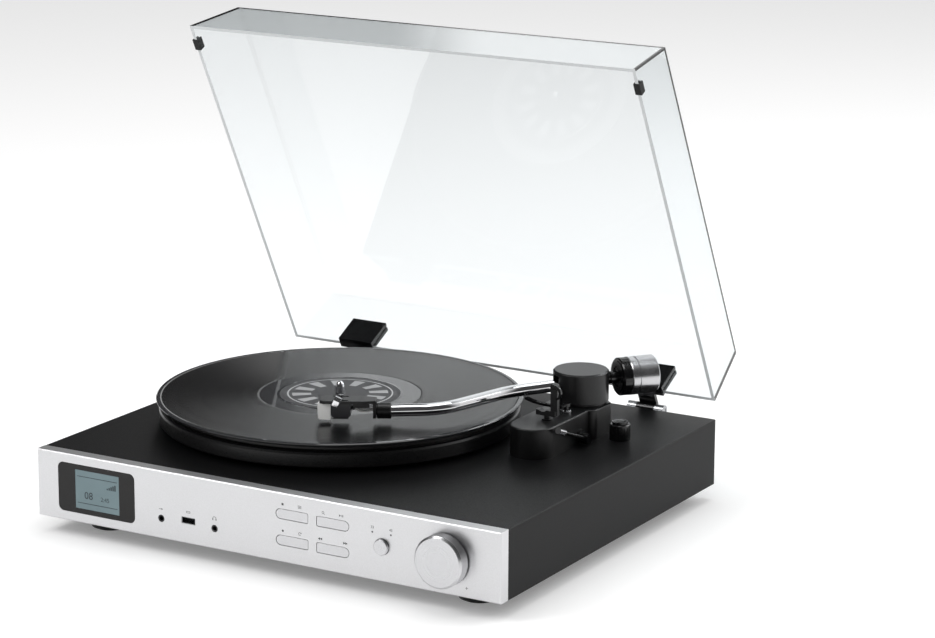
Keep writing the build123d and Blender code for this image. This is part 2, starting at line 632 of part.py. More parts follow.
def make_bearing_housing():
    """The turning cup of the gimbal, slotted where the tube leaves and where the tail leaves."""
    cup = post(HOUSING_RADIUS, HOUSING_BOTTOM_Z, HOUSING_TOP_Z)
    cup = chamfer(cup.edges().group_by(Axis.Z)[-1], 1.2)
    cup -= post(HOUSING_RADIUS - 3, HOUSING_BOTTOM_Z + 3, HOUSING_TOP_Z - 3)
    cup += post(3.0, BODY_TOP - 14, HOUSING_BOTTOM_Z + 0.5)
    tunnel = Box(40, 12.6, 15.4)
    cup -= Rot(0, 0, -130) * Pos(20, 0, PIVOT_Z - 0.3) * tunnel
    cup -= Rot(0, 0, WEIGHT_ANGLE) * Pos(20, 0, PIVOT_Z + 0.3) * tunnel
    seat = Rot(0, 0, pitch_axis_angle()) * Rot(0, 90, 0) * Cylinder(3.25, 2 * (HOUSING_RADIUS - 1.5))
    cup -= Pos(0, 0, PIVOT_Z) * seat
    return Pos(PIVOT_X, PIVOT_Y, 0) * cup


def pitch_axis_angle():
    """The gimbal's cross axle is square to the line from the pivot to the stylus."""
    return degrees(atan2(STYLUS_Y - PIVOT_Y, STYLUS_X - PIVOT_X)) - 90


def make_pivot_bearings():
    """Two bearing cups, pressed into the housing's wall from inside, for the arm's cross axle."""
    cup = Rot(0, 90, 0) * (Cylinder(3.2, 2.6) - Pos(0, 0, -0.8) * Cylinder(1.75, 2.6))
    cups = [Rot(0, 0, pitch_axis_angle() + turn) * Pos(HOUSING_RADIUS - 2.9, 0, 0) * cup for turn in (0, 180)]
    return Pos(PIVOT_X, PIVOT_Y, PIVOT_Z) * group(*cups)


def make_arm_rest():
    """A low cradle on one post, with a tall upright at its right that carries the lock clip."""
    cradle = block((REST_X - 7, REST_X + 11.6), (REST_Y - 3, REST_Y + 3), (97.6, 102.0))
    cradle = fillet(cradle.edges().filter_by(Axis.Z), 1.5)
    cradle -= bar_y(5.6, REST_Y - 4, REST_Y + 4, REST_X - 0.4, 106.2)
    cradle += post(2.3, ARM_BASE_TOP_Z, 98.0, REST_X + 2.1, REST_Y)
    cradle += post(4.2, ARM_BASE_TOP_Z, ARM_BASE_TOP_Z + 0.8, REST_X + 2.1, REST_Y)
    upright = block((CLIP_X - 3.2, CLIP_X + 3.0), (REST_Y - 1.8, REST_Y + 1.8), (98.5, CLIP_Z + 2))
    upright = fillet(upright.edges().filter_by(Axis.Y).group_by(Axis.Z)[-1], 2.0)
    return cradle + upright - bar_y(1.0, REST_Y - 4, REST_Y + 4, CLIP_X, CLIP_Z)


def make_arm_clip():
    """A curved hook that hangs from a cross pin beside the upright and swings over the tube."""
    outer = ThreePointArc((1.2, 1.6), (7.4, -3.0), (3.6, -10.4))
    inner = ThreePointArc((2.6, -9.0), (5.4, -3.6), (0.2, -1.2))
    outline = make_face([outer, Line(outer @ 1, inner @ 0), inner, Line(inner @ 1, outer @ 0)])
    hook = Pos(0, -2.1, 0) * extrude(Plane.XZ * outline, amount=2.2)
    return Pos(CLIP_X, REST_Y, CLIP_Z) * (hook + bar_y(2.1, -4.3, -2.1, 0, 0) + bar_y(0.95, -4.3, 1.6, 0, 0))


def make_lift_cylinder():
    """The damped lift's sleeve, set into the arm base beside the tube."""
    sleeve = tube(4.2, 2.0 + SHAFT_GAP, ARM_BASE_TOP_Z - 13, ARM_BASE_TOP_Z + 2.6, LIFT_X, LIFT_Y)
    return fillet(sleeve.edges().group_by(Axis.Z)[-1].sort_by(SortBy.RADIUS)[-1], 0.6)


def make_cue_lift():
    """The lift's plunger and the curved bar that the arm tube is raised by."""
    top = LIFT_BAR_TOP_Z
    plunger = post(2.0, ARM_BASE_TOP_Z - 20, top - 1, LIFT_X, LIFT_Y)
    cap = post(3.4, top - 3.0, top - 0.6, LIFT_X, LIFT_Y)
    window = make_face(Polyline((0, 0), polar(90, -128), polar(110, -104), polar(90, -80), close=True))
    arc = extrude((Circle(LIFT_BAR_RADIUS + 1.7) - Circle(LIFT_BAR_RADIUS - 1.7)) & window, amount=-2.0)
    bar = Pos(PIVOT_X, PIVOT_Y, top) * arc
    reach = block((LIFT_X - 1.7, LIFT_X + 1.7), (PIVOT_Y - LIFT_BAR_RADIUS, LIFT_Y), (top - 2.6, top - 0.6))
    return plunger + cap + bar + reach


def polar(radius, angle):
    return (radius * cos(radians(angle)), radius * sin(radians(angle)))


def make_cue_lever():
    """A cranked rod with a bright ribbed finger end, turning on a hub beside the arm base."""
    hub = bar_x(4.4, LEVER_X - 3.0, LEVER_X + 3.0, 0, 0) + bar_x(2.0, 143, LEVER_X, 0, 0)
    rod = bar_y(1.5, -LEVER_LENGTH + 6, -2, LEVER_X, 0)
    return Pos(0, LEVER_Y, LEVER_Z) * Rot(-LEVER_SLOPE, 0, 0) * (hub + rod)


def make_cue_lever_tip():
    tip = bar_y(2.6, -LEVER_LENGTH - 4, -LEVER_LENGTH + 6, LEVER_X, 0)
    for index in range(5):
        y = -LEVER_LENGTH - 2.4 + 1.7 * index
        tip -= bar_y(4.0, y - 0.3, y + 0.3, LEVER_X, 0) - bar_y(2.2, y - 1, y + 1, LEVER_X, 0)
    tip -= bar_y(1.5, -LEVER_LENGTH + 5.9, -LEVER_LENGTH + 7, LEVER_X, 0)
    return Pos(0, LEVER_Y, LEVER_Z) * Rot(-LEVER_SLOPE, 0, 0) * tip


def make_anti_skate_dial():
    bottom = BODY_TOP + 0.4
    dial = post(8.5, bottom, BODY_TOP + 13.4)
    dial = chamfer(dial.edges().group_by(Axis.Z)[-1], 0.7)
    for index in range(18):
        dial -= Rot(0, 0, 20 * index) * Pos(8.75, 0, BODY_TOP + 7) * Cylinder(0.7, 9)
    dial += post(6.4, BODY_TOP + 13.0, BODY_TOP + 15.4)
    dial += post(3.0, BODY_TOP - 8, bottom + 1)
    dial -= Pos(3.6, 0, BODY_TOP + 15.4) * Box(3.6, 0.7, 0.6)
    return Pos(ANTI_SKATE_X, ANTI_SKATE_Y, 0) * dial


# Tonearm

def tilted(shape):
    """Tips the level arm down towards its headshell about the pivot."""
    run_x = TUBE_END[0] - PIVOT_X
    run_y = TUBE_END[1] - PIVOT_Y
    length = (run_x**2 + run_y**2)**0.5
    axis = Axis((PIVOT_X, PIVOT_Y, PIVOT_Z), (run_y / length, -run_x / length, 0))
    return shape.rotate(axis, -degrees(atan2(TUBE_DROP, length)))


def make_arm_tube():
    """The S-shaped tube: three straight runs joined by two bends."""
    start = (PIVOT_X - 4 * cos(radians(50)), PIVOT_Y - 4 * sin(radians(50)))
    corners = [start, TUBE_BEND_1, TUBE_BEND_2, TUBE_END]
    path = route(corners, [BEND_RADIUS_1, BEND_RADIUS_2])
    section = Plane(origin=path @ 0, z_dir=path % 0) * (Circle(TUBE_RADIUS) - Circle(TUBE_BORE))
    pipe = Pos(0, 0, PIVOT_Z) * sweep(section, path=path)
    knuckle = Pos(PIVOT_X, PIVOT_Y, PIVOT_Z) * Sphere(6.2)
    axle = Rot(0, 0, pitch_axis_angle()) * Rot(0, 90, 0) * Cylinder(1.7, 34.8)
    return tilted(pipe + knuckle + Pos(PIVOT_X, PIVOT_Y, PIVOT_Z) * axle)


def route(corners, radii):
    """A flat path of straight runs with a tangent arc at each inner corner."""
    edges = []
    begin = Vector(*corners[0])
    for index, radius in enumerate(radii):
        corner = Vector(*corners[index + 1])
        before = (corner - Vector(*corners[index])).normalized()
        after = (Vector(*corners[index + 2]) - corner).normalized()
        turn = radians(before.get_angle(after))
        reach = radius * tan(turn / 2)
        arc_start = corner - before * reach
        arc_end = corner + after * reach
        edges.append(Line(begin, arc_start))
        edges.append(TangentArc(arc_start, arc_end, tangent=before))
        begin = arc_end
    edges.append(Line(begin, Vector(*corners[-1])))
    return Wire(edges)


def tail(shape):
    """Places a piece drawn along +X from the pivot on the arm's tail line."""
    return Pos(PIVOT_X, PIVOT_Y, WEIGHT_Z) * Rot(0, 0, WEIGHT_ANGLE) * shape


def bar_local(radius, near, far):
    """A cylinder along the local X axis."""
    return Pos((near + far) / 2, 0, 0) * Rot(0, 90, 0) * Cylinder(radius, far - near)


def make_tail_stub():
    """The threaded rear stub that the balance weight screws along."""
    stub = bar_local(4.0, 6.3, 66) + bar_local(5.2, 25, 31)
    for index in range(10):
        near = 50 + 1.5 * index
        stub -= bar_local(5, near, near + 0.7) - bar_local(3.6, near - 1, near + 2)
    return tail(stub)


def make_force_dial():
    """The black tracking-force ring: a knurled rim and a raised band on the face nearest the pivot."""
    ring = bar_local(FORCE_DIAL_RADIUS, 32.6, 39.6)
    ring = chamfer(ring.edges().filter_by(GeomType.CIRCLE).sort_by(Axis.X)[0], 0.8)
    ring += bar_local(12.6, 32.0, 33.0) - bar_local(8.6, 31.0, 34.0)
    for index in range(24):
        ring -= Pos(37, 0, 0) * Rot(15 * index, 0, 0) * Pos(0, FORCE_DIAL_RADIUS + 0.2, 0) * Box(5, 0.9, 0.9)
    return tail(ring - bar_local(4.3, 30, 45))


def make_counterweight():
    weight = bar_local(WEIGHT_RADIUS, 39.9, 64)
    weight = chamfer(weight.edges().filter_by(GeomType.CIRCLE), 0.9)
    weight -= bar_local(WEIGHT_RADIUS + 1, 46, 47.2) - bar_local(WEIGHT_RADIUS - 0.7, 45, 48)
    return tail(weight - bar_local(4.05, 30, 70))


def shell_frame(shape):
    """Places a piece drawn with the stylus at x = y = 0 and the arm's rear along +X."""
    return Pos(STYLUS_X, STYLUS_Y, 0) * Rot(0, 0, SHELL_ANGLE) * shape


def make_headshell():
    """A thin top plate with slots, side flanges and a rear wall that carries the plug stub."""
    outline = Polyline((-7, -6), (-3.5, -9), (27, -9), (38, -6.2), (38, 6.2), (27, 9), (-3.5, 9), (-7, 6), close=True)
    plate = Pos(0, 0, 109.6) * extrude(make_face(outline), amount=2.4)
    plate = fillet(plate.edges().group_by(Axis.Z)[-1], 0.6)
    for y in (-6.3, 6.3):
        plate -= Pos(9.5, y, 110) * extrude(SlotOverall(13, 2.6), amount=6, both=True)
    for side in (-1, 1):
        flange = block((20, 33), (side * 7.4 - 0.7, side * 7.4 + 0.7), (106.5, 110))
        plate += flange
    plate += block((35.6, 38.0), (-6.2, 6.2), (97.4, 110))
    plate += Pos(40.6, 0, COLLAR_Z) * Rot(0, 90, 0) * Cylinder(3.9, 6)
    return shell_frame(plate)


def make_locking_collar():
    """The knurled nut that locks the headshell to the tube."""
    nut = Pos(44.3, 0, COLLAR_Z) * Rot(0, 90, 0) * Cylinder(COLLAR_RADIUS, 11.6)
    nut = chamfer(nut.edges().filter_by(GeomType.CIRCLE), 0.6)
    nut -= Pos(41.0, 0, COLLAR_Z) * Rot(0, 90, 0) * Cylinder(3.98, 8.4)
    nut -= Pos(49.2, 0, COLLAR_Z) * Rot(0, 90, 0) * Cylinder(TUBE_RADIUS + 0.5, 9)
    for index in range(16):
        groove = Pos(44.3, 0, COLLAR_Z) * Rot(22.5 * index, 0, 0) * Pos(0, COLLAR_RADIUS + 0.2, 0) * Box(7, 0.9, 0.9)
        nut -= groove
    return shell_frame(nut)


def make_cartridge():
    body = block((2.2, 18), (-8, 8), (98.6, 109.4))
    body = chamfer(body.edges().filter_by(Axis.Y).group_by(Axis.Z)[0], 1.6)
    body += block((4, 16), (-5.5, 5.5), (96.6, 98.8))
    for y in (-6.3, 6.3):
        body -= Pos(9.5, y, 105) * Cylinder(1.3, 12)
    for y in (-4.5, -1.5, 1.5, 4.5):
        body += Pos(19.4, y, 104.6) * Rot(0, 90, 0) * Cylinder(0.6, 3.2)
    return shell_frame(body)


def make_stylus():
    """The removable holder at the front, with its thin cantilever and tip."""
    profile = Polyline((2.0, 109.2), (-7.2, 109.2), (-8.6, 107.6), (-8.2, 97.6), (-7.0, 96.4), (2.0, 96.0), close=True)
    holder = Pos(0, 6.8, 0) * extrude(Plane.XZ * make_face(profile), amount=13.6)
    cantilever = Pos(1.6, 0, 95.2) * Rot(0, 90 - 16, 0) * Cylinder(0.45, 6)
    tip = Pos(0, 0, 94.1) * Cone(0.12, 0.5, 1.5)
    return shell_frame(holder + block((0.8, 2.0), (-1.2, 1.2), (94.6, 96.4)) + cantilever + tip)


def make_cartridge_screws():
    screws = []
    for y in (-6.3, 6.3):
        head = post(2.1, 112.05, 113.5, 9.5, y) - Pos(9.5, y, 113.5) * Box(5, 0.6, 1.2)
        screws.append(head + post(1.2, 100.5, 112.1, 9.5, y))
    return shell_frame(group(*screws))


def make_finger_lift():
    """A bright ribbed tab on the headshell's side, leaning back and outwards, for lifting the arm."""
    side = -9.0
    profile = Polyline((side, 107.8), (side, 112.6), (side - 2.6, 117.0), (side - 3.6, 116.5), (side - 1.1, 112.3),
                       (side - 1.1, 107.8), close=True)
    tab = Pos(-2.4, 0, 0) * extrude(Plane.YZ * make_face(profile), amount=4.8)
    for height in (108.8, 110.2, 111.6):
        tab -= Pos(0, side - 1.2, height) * Box(6, 0.5, 0.6)
    leaning = Pos(0, 0, 111) * Rot(0, 24, 0) * Pos(0, 0, -111) * tab
    return shell_frame(Pos(6.4, 0, 0) * leaning)


def make_lead_wires():
    """Four short flexible leads from the cartridge pins back to the headshell's plug."""
    wires = []
    for y in (-4.5, -1.5, 1.5, 4.5):
        sag = 101.4 + abs(y) * 0.25
        path = Wire([ThreePointArc((21.6, y, 104.6), (28.0, y * 0.85, sag), (35.4, y * 0.62, 103.6))])
        wires.append(sweep(Plane(origin=path @ 0, z_dir=path % 0) * Circle(0.55), path=path))
    return shell_frame(group(*wires))


# Dust cover and hinges

def opened(shape):
    """Turns a piece drawn with the cover closed to the open angle."""
    return shape.rotate(Axis((0, HINGE_Y, HINGE_Z), (1, 0, 0)), -LID_OPEN_ANGLE)


def lid_block(inset, height):
    """The cover's tapered outside, or its inside when inset by the wall."""
    rim_half = LID_WIDTH / 2 - inset
    front = LID_REAR_Y - LID_DEPTH + inset
    rear = LID_REAR_Y - inset
    share = height / LID_HEIGHT
    low = Plane(origin=(0, 0, LID_RIM_Z)) * Pos(0, (front + rear) / 2) * Rectangle(2 * rim_half, rear - front)
    top_front = front + LID_FRONT_TAPER * share
    top_rear = rear - LID_REAR_TAPER * share
    high = Plane(origin=(0, 0, LID_RIM_Z + height)) * Pos(0, (top_front + top_rear) / 2) * Rectangle(
        2 * (rim_half - LID_SIDE_TAPER * share), top_rear - top_front)
    return loft([low, high])


def make_dust_cover():
    outside = lid_block(0, LID_HEIGHT)
    outside = fillet(outside.edges().group_by(Axis.Z)[-1], 2.0)
    inside = lid_block(LID_WALL, LID_HEIGHT - LID_WALL)
    return opened(outside - inside)


def make_cover_bumpers():
    """Rubber clips pressed over the cover's side rims near its front corners."""
    clips = []
    for side in (-1, 1):
        y = LID_REAR_Y - LID_DEPTH + 19
        outer = LID_WIDTH / 2 + 1.3
        clip = block((outer - LID_WALL - 2.8, outer), (y - 5, y + 5), (LID_RIM_Z - 0.9, LID_RIM_Z + 5))
        clip = clip - lid_slot(y)
        clips.append(clip if side == 1 else mirror(clip, about=Plane.YZ))
    return opened(group(*clips))


def lid_slot(y):
    """The leaning strip of the cover's side wall that a rim clip wraps."""
    half = LID_WIDTH / 2
    lean = LID_SIDE_TAPER / LID_HEIGHT * 8
    strip = Polyline((half, LID_RIM_Z), (half - lean, LID_RIM_Z + 8),
                     (half - lean - LID_WALL, LID_RIM_Z + 8), (half - LID_WALL, LID_RIM_Z), close=True)
    return Pos(0, y + 6, 0) * extrude(Plane.XZ * make_face(strip), amount=12)


def make_hinge_clips():
    """Channels that grip the cover's rear wall, each with a leaf back to its hinge knuckle."""
    clips = []
    lean = LID_REAR_TAPER / LID_HEIGHT * 30
    for x in (-HINGE_X, HINGE_X):
        span = (x - HINGE_WIDTH / 2, x + HINGE_WIDTH / 2)
        grip = block(span, (LID_REAR_Y - LID_WALL - 4.4, LID_REAR_Y + 2.4), (LID_RIM_Z - 0.9, LID_RIM_Z + 27))
        gap = Polyline((LID_REAR_Y, LID_RIM_Z), (LID_REAR_Y - lean, LID_RIM_Z + 30),
                       (LID_REAR_Y - LID_WALL - lean, LID_RIM_Z + 30), (LID_REAR_Y - LID_WALL, LID_RIM_Z), close=True)
        grip -= Pos(span[0] - 1, 0, 0) * extrude(Plane.YZ * make_face(gap), amount=HINGE_WIDTH + 2)
        leaf = block((x - 8, x + 8), (LID_REAR_Y + 2, HINGE_Y + 2.6), (LID_RIM_Z - 0.6, LID_RIM_Z + 2.4))
        knuckle = bar_x(KNUCKLE_RADIUS, x - 8, x + 8, HINGE_Y, HINGE_Z)
        web = block((x - 8, x + 8), (HINGE_Y - 1.5, HINGE_Y + 2.6), (HINGE_Z, LID_RIM_Z + 0.5))
        clip = grip + leaf + knuckle + web
        clips.append(clip - bar_x(HINGE_PIN_RADIUS + SHAFT_GAP, x - 30, x + 30, HINGE_Y, HINGE_Z))
    return opened(group(*clips))


def make_hinge_pins():
    return group(*[bar_x(HINGE_PIN_RADIUS, x - 16.5, x + 16.5, HINGE_Y, HINGE_Z) for x in (-HINGE_X, HINGE_X)])


def make_hinge_brackets():
    """Brackets screwed to the plinth's back, each with two fixed knuckles round the pin."""
    brackets = []
    for x in (-HINGE_X, HINGE_X):
        plate = block((x - 17, x + 17), (REAR_Y, REAR_Y + 2.2), (38, BODY_TOP - 6))
        plate = fillet(plate.edges().filter_by(Axis.Y), 2.5)
        for side in (-1, 1):
            left, right = sorted((x + side * 8.4, x + side * 16.8))
            ear = bar_x(KNUCKLE_RADIUS, left, right, HINGE_Y, HINGE_Z)
            ear += block((left, right), (REAR_Y + 1, HINGE_Y), (BODY_TOP - 14, HINGE_Z + 1.2))
            plate += ear
        plate -= bar_x(HINGE_PIN_RADIUS + SHAFT_GAP, x - 20, x + 20, HINGE_Y, HINGE_Z)
        for offset in (-10, 10):
            plate -= bar_y(1.7, REAR_Y - 1, REAR_Y + 4, x + offset, 45)
        brackets.append(plate)
    return group(*brackets)


def make_bracket_screws():
    screws = []
    for x in (-HINGE_X, HINGE_X):
        for offset in (-10, 10):
            head = bar_y(3.1, REAR_Y + 2.2, REAR_Y + 4.0, x + offset, 45)
            head -= Pos(x + offset, REAR_Y + 4.0, 45) * Box(3.4, 1.4, 0.8)
            head -= Pos(x + offset, REAR_Y + 4.0, 45) * Box(0.8, 1.4, 3.4)
            screws.append(head + bar_y(1.5, REAR_Y - 2.6, REAR_Y + 2.3, x + offset, 45))
    return group(*screws)


# Back connections

def make_rear_panel():
    """A recessed steel plate that carries the back's sockets."""
    back = REAR_Y - WALL
    panel = block((-88, 136), (back - 1.2, back), (23, 57))
    for x in phono_places():
        panel -= bar_y(4.9, back - 3, back + 1, x, TERMINAL_Z)
    for x in speaker_places():
        panel -= bar_y(4.1, back - 3, back + 1, x, TERMINAL_Z)
    return panel - bar_y(5.1, back - 3, back + 1, AERIAL_X, TERMINAL_Z)


def phono_places():
    return [PHONO_X, PHONO_X + PHONO_SPACING]


def speaker_places():
    return [SPEAKER_X - 54, SPEAKER_X - 38, SPEAKER_X - 14, SPEAKER_X + 2]


def make_phono_sockets():
    sockets = []
    back = REAR_Y - WALL
    for x in phono_places():
        socket = bar_y(4.8, back - 9, back + 0.8, x, TERMINAL_Z) + bar_y(6.2, back, back + 1, x, TERMINAL_Z)
        socket += bar_y(4.15, back, back + 9, x, TERMINAL_Z)
        sockets.append(socket - bar_y(1.6, back + 1, back + 10, x, TERMINAL_Z))
    return group(*sockets)


def make_speaker_terminals():
    posts = []
    back = REAR_Y - WALL
    for x in speaker_places():
        one = bar_y(4.0, back - 8, back + 0.5, x, TERMINAL_Z) + bar_y(6.0, back, back + 1.4, x, TERMINAL_Z)
        one += bar_y(2.2, back, back + 12, x, TERMINAL_Z)
        cap = bar_y(5.2, back + 3.4, back + 12.6, x, TERMINAL_Z)
        for index in range(12):
            cap -= Pos(x, back + 8, TERMINAL_Z) * Rot(0, 30 * index, 0) * Pos(5.4, 0, 0) * Box(0.9, 7, 0.9)
        posts.append(one + cap)
    return group(*posts)


def make_aerial_socket():
    back = REAR_Y - WALL
    socket = bar_y(5.0, back - 8, back + 0.5, AERIAL_X, TERMINAL_Z)
    socket += bar_y(6.6, back, back + 1.2, AERIAL_X, TERMINAL_Z)
    socket += bar_y(4.75, back, back + 9, AERIAL_X, TERMINAL_Z)
    return socket - bar_y(3.4, back + 2, back + 10, AERIAL_X, TERMINAL_Z) + bar_y(1.2, back, back + 8, AERIAL_X, TERMINAL_Z)


def make_mains_inlet():
    """A two-pole inlet: a figure-eight well with two pins, flush with the back."""
    wide = block((INLET_X - 17, INLET_X + 17), (REAR_Y, REAR_Y + 1.6), (31, 49))
    body = block((INLET_X - 13.6, INLET_X + 13.6), (REAR_Y - 16, REAR_Y + 0.5), (31, 49))
    inlet = wide + body
    well = Pos(INLET_X, 0, 40) * Rot(90, 0, 0) * SlotCenterToCenter(8.6, 8.4)
    well = Pos(0, REAR_Y + 5, 0) * extrude(well, amount=17)
    inlet -= well
    for offset in (-4.3, 4.3):
        inlet += bar_y(1.2, REAR_Y - 13, REAR_Y - 1.5, INLET_X + offset, 40)
    return inlet


def main():
    os.makedirs("parts", exist_ok=True)
    pieces = {
        "plinth": make_plinth(), "base_cover": make_base_cover(), "base_screws": make_base_screws(),
        "feet": make_feet(), "foot_pads": make_foot_pads(), "front_fascia": make_front_fascia(),
        "display_window": make_display_window(), "lcd_module": make_lcd_module(),
        "aux_jack": make_jack(AUX_X), "headphone_jack": make_jack(PHONES_X),
        "usb_socket": make_usb_socket(), "speed_knob": make_speed_knob(),
        "control_board": group(make_key_board(), make_speed_switch(), make_volume_encoder()),
        "volume_shaft": make_volume_shaft(),
        "volume_knob": make_volume_knob(), "main_board": make_main_board(),
        "power_supply": make_power_supply(), "bearing_well": make_bearing_well(),
        "spindle": make_spindle(), "platter": make_platter(), "platter_mat": make_mat(),
        "record": make_record(), "record_label": make_record_label(), "motor": make_motor(),
        "motor_mounts": group(make_motor_mounts(), make_motor_screws()),
        "motor_pulley": make_pulley(), "drive_belt": make_drive_belt(), "arm_base": make_arm_base(),
        "arm_collar": make_arm_collar(), "bearing_housing": make_bearing_housing(),
        "pivot_bearings": make_pivot_bearings(), "arm_rest": make_arm_rest(), "arm_clip": make_arm_clip(),
        "lift_cylinder": make_lift_cylinder(), "cue_lift": make_cue_lift(), "cue_lever": make_cue_lever(),
        "cue_lever_tip": make_cue_lever_tip(), "anti_skate_dial": make_anti_skate_dial(),
        "arm_tube": make_arm_tube(), "tail_stub": make_tail_stub(), "force_dial": make_force_dial(),
        "counterweight": make_counterweight(), "headshell": make_headshell(),
        "locking_collar": make_locking_collar(), "cartridge": make_cartridge(), "stylus": make_stylus(),
        "cartridge_screws": make_cartridge_screws(), "finger_lift": make_finger_lift(),
        "lead_wires": make_lead_wires(), "dust_cover": make_dust_cover(),
        "cover_bumpers": make_cover_bumpers(), "hinge_clips": make_hinge_clips(),
        "hinge_hardware": group(make_hinge_brackets(), make_hinge_pins(), make_bracket_screws()),
        "rear_panel": make_rear_panel(),
        "back_sockets": group(make_phono_sockets(), make_speaker_terminals(), make_aerial_socket()),
        "mains_inlet": make_mains_inlet(),
    }
    for name, (x, height, side) in KEY_PLACES.items():
        pieces[name] = make_key(x, height, side)
    for name, shape in pieces.items():
        save(name, shape)
    print(len(pieces), "pieces")


main()
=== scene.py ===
import math

import bpy
from mathutils import Matrix, Vector


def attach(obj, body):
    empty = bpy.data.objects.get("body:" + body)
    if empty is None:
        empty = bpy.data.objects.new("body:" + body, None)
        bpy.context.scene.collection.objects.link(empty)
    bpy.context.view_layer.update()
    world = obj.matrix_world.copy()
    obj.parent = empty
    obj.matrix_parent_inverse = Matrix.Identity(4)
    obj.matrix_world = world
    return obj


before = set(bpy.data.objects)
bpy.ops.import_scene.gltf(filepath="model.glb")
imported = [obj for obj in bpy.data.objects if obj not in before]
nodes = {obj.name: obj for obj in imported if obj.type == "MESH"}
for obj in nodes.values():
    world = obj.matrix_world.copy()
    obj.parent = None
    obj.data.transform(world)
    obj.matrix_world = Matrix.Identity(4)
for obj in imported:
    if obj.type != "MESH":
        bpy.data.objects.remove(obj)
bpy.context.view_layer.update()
print("frame loaded:", len(nodes), "nodes")

# Everything below is in metres unless a name ends in Mm.
mm = 0.001
frameY = 24.05  # the frame's origin is this far behind the plinth's middle, in mm

bodyPlaces = {"frontY": -179.3, "bottomZ": 14.0}
spindlePlace = {"x": -49.5, "y": 13.5}


def place(x, y, z):
    # from the plinth's own millimetres to the frame's metres
    return Vector((x * mm, (y - frameY) * mm, z * mm))


# Camera

cameraValues = {
    "x": 1302.73,
    "y": -2092.77,
    "z": 778.12,
    "turn": 30.31,
    "tilt": 13.96,
    "roll": 0.27,
    "focalPixels": 3151.55,
    "imageWidth": 935,
    "sensor": 36.0,
}


def makeCamera(v):
    turn, tilt, roll = (math.radians(v[k]) for k in ("turn", "tilt", "roll"))
    back = Vector((math.sin(turn) * math.cos(tilt), -math.cos(turn) * math.cos(tilt), math.sin(tilt)))
    right = (-back).cross(Vector((0, 0, 1))).normalized()
    up = right.cross(-back)
    rightRolled = right * math.cos(roll) + up * math.sin(roll)
    upRolled = up * math.cos(roll) - right * math.sin(roll)
    data = bpy.data.cameras.new("camera")
    data.sensor_width = v["sensor"]
    data.lens = v["sensor"] * v["focalPixels"] / v["imageWidth"]
    data.clip_start = 0.1
    data.clip_end = 30
    camera = bpy.data.objects.new("camera", data)
    bpy.context.scene.collection.objects.link(camera)
    turned = Matrix((rightRolled, upRolled, back)).transposed().to_4x4()
    camera.matrix_world = Matrix.Translation(place(v["x"], v["y"], v["z"])) @ turned
    bpy.context.scene.camera = camera


makeCamera(cameraValues)
print("camera placed")


# Material helpers

def linear(code, alpha=1.0):
    # an sRGB hex colour as Blender's linear values
    parts = [int(code[i:i + 2], 16) / 255 for i in (0, 2, 4)]
    return [c / 12.92 if c <= 0.04045 else ((c + 0.055) / 1.055) ** 2.4 for c in parts] + [alpha]


def perMetre(sizeMm):
    # a pattern's scale from its spacing in millimetres
    # grain, grit, turned rings and grooves are drawn coarser than life, so that they show in the render
    return 1000.0 / sizeMm


def startMaterial(name):
    material = bpy.data.materials.new(name)
    material.use_nodes = True
    tree = material.node_tree
    shader = tree.nodes["Principled BSDF"]
    return material, tree, shader


def addNode(tree, kind, settings=None, links=None):
    # settings are node properties or input values, links are input: output socket
    node = tree.nodes.new(kind)
    for key, value in (settings or {}).items():
        if isinstance(key, int) or key in node.inputs:
            node.inputs[key].default_value = value
        else:
            setattr(node, key, value)
    for key, socket in (links or {}).items():
        tree.links.new(socket, node.inputs[key])
    return node


def setShader(shader, **values):
    names = {
        "color": "Base Color", "metallic": "Metallic", "roughness": "Roughness", "ior": "IOR",
        "coat": "Coat Weight", "anisotropic": "Anisotropic", "specular": "Specular IOR Level",
    }
    for key, value in values.items():
        shader.inputs[names[key]].default_value = value


def objectCoordinates(tree, location=(0, 0, 0), rotation=(0, 0, 0), scale=(1, 1, 1)):
    source = addNode(tree, "ShaderNodeTexCoord")
    mapping = addNode(tree, "ShaderNodeMapping",
                      {"Location": location, "Rotation": rotation, "Scale": scale},
                      {"Vector": source.outputs["Object"]})
    return mapping.outputs["Vector"]


def mixedColor(tree, shader, factor, first, second):
    # a soft change between two close tones
    mix = addNode(tree, "ShaderNodeMix", {"data_type": "RGBA"})
    mix.inputs[6].default_value = linear(first)
    mix.inputs[7].default_value = linear(second)
    tree.links.new(factor, mix.inputs[0])
    tree.links.new(mix.outputs[2], shader.inputs["Base Color"])
    return mix


def ranged(tree, value, fromMin, fromMax, toMin, toMax):
    node = addNode(tree, "ShaderNodeMapRange",
                   {"From Min": fromMin, "From Max": fromMax, "To Min": toMin, "To Max": toMax},
                   {"Value": value})
    return node.outputs["Result"]


def bumpFrom(tree, shader, height, strength, distanceMm):
    bump = addNode(tree, "ShaderNodeBump", {"Strength": strength, "Distance": distanceMm * mm},
                   {"Height": height})
    tree.links.new(bump.outputs["Normal"], shader.inputs["Normal"])
    return bump


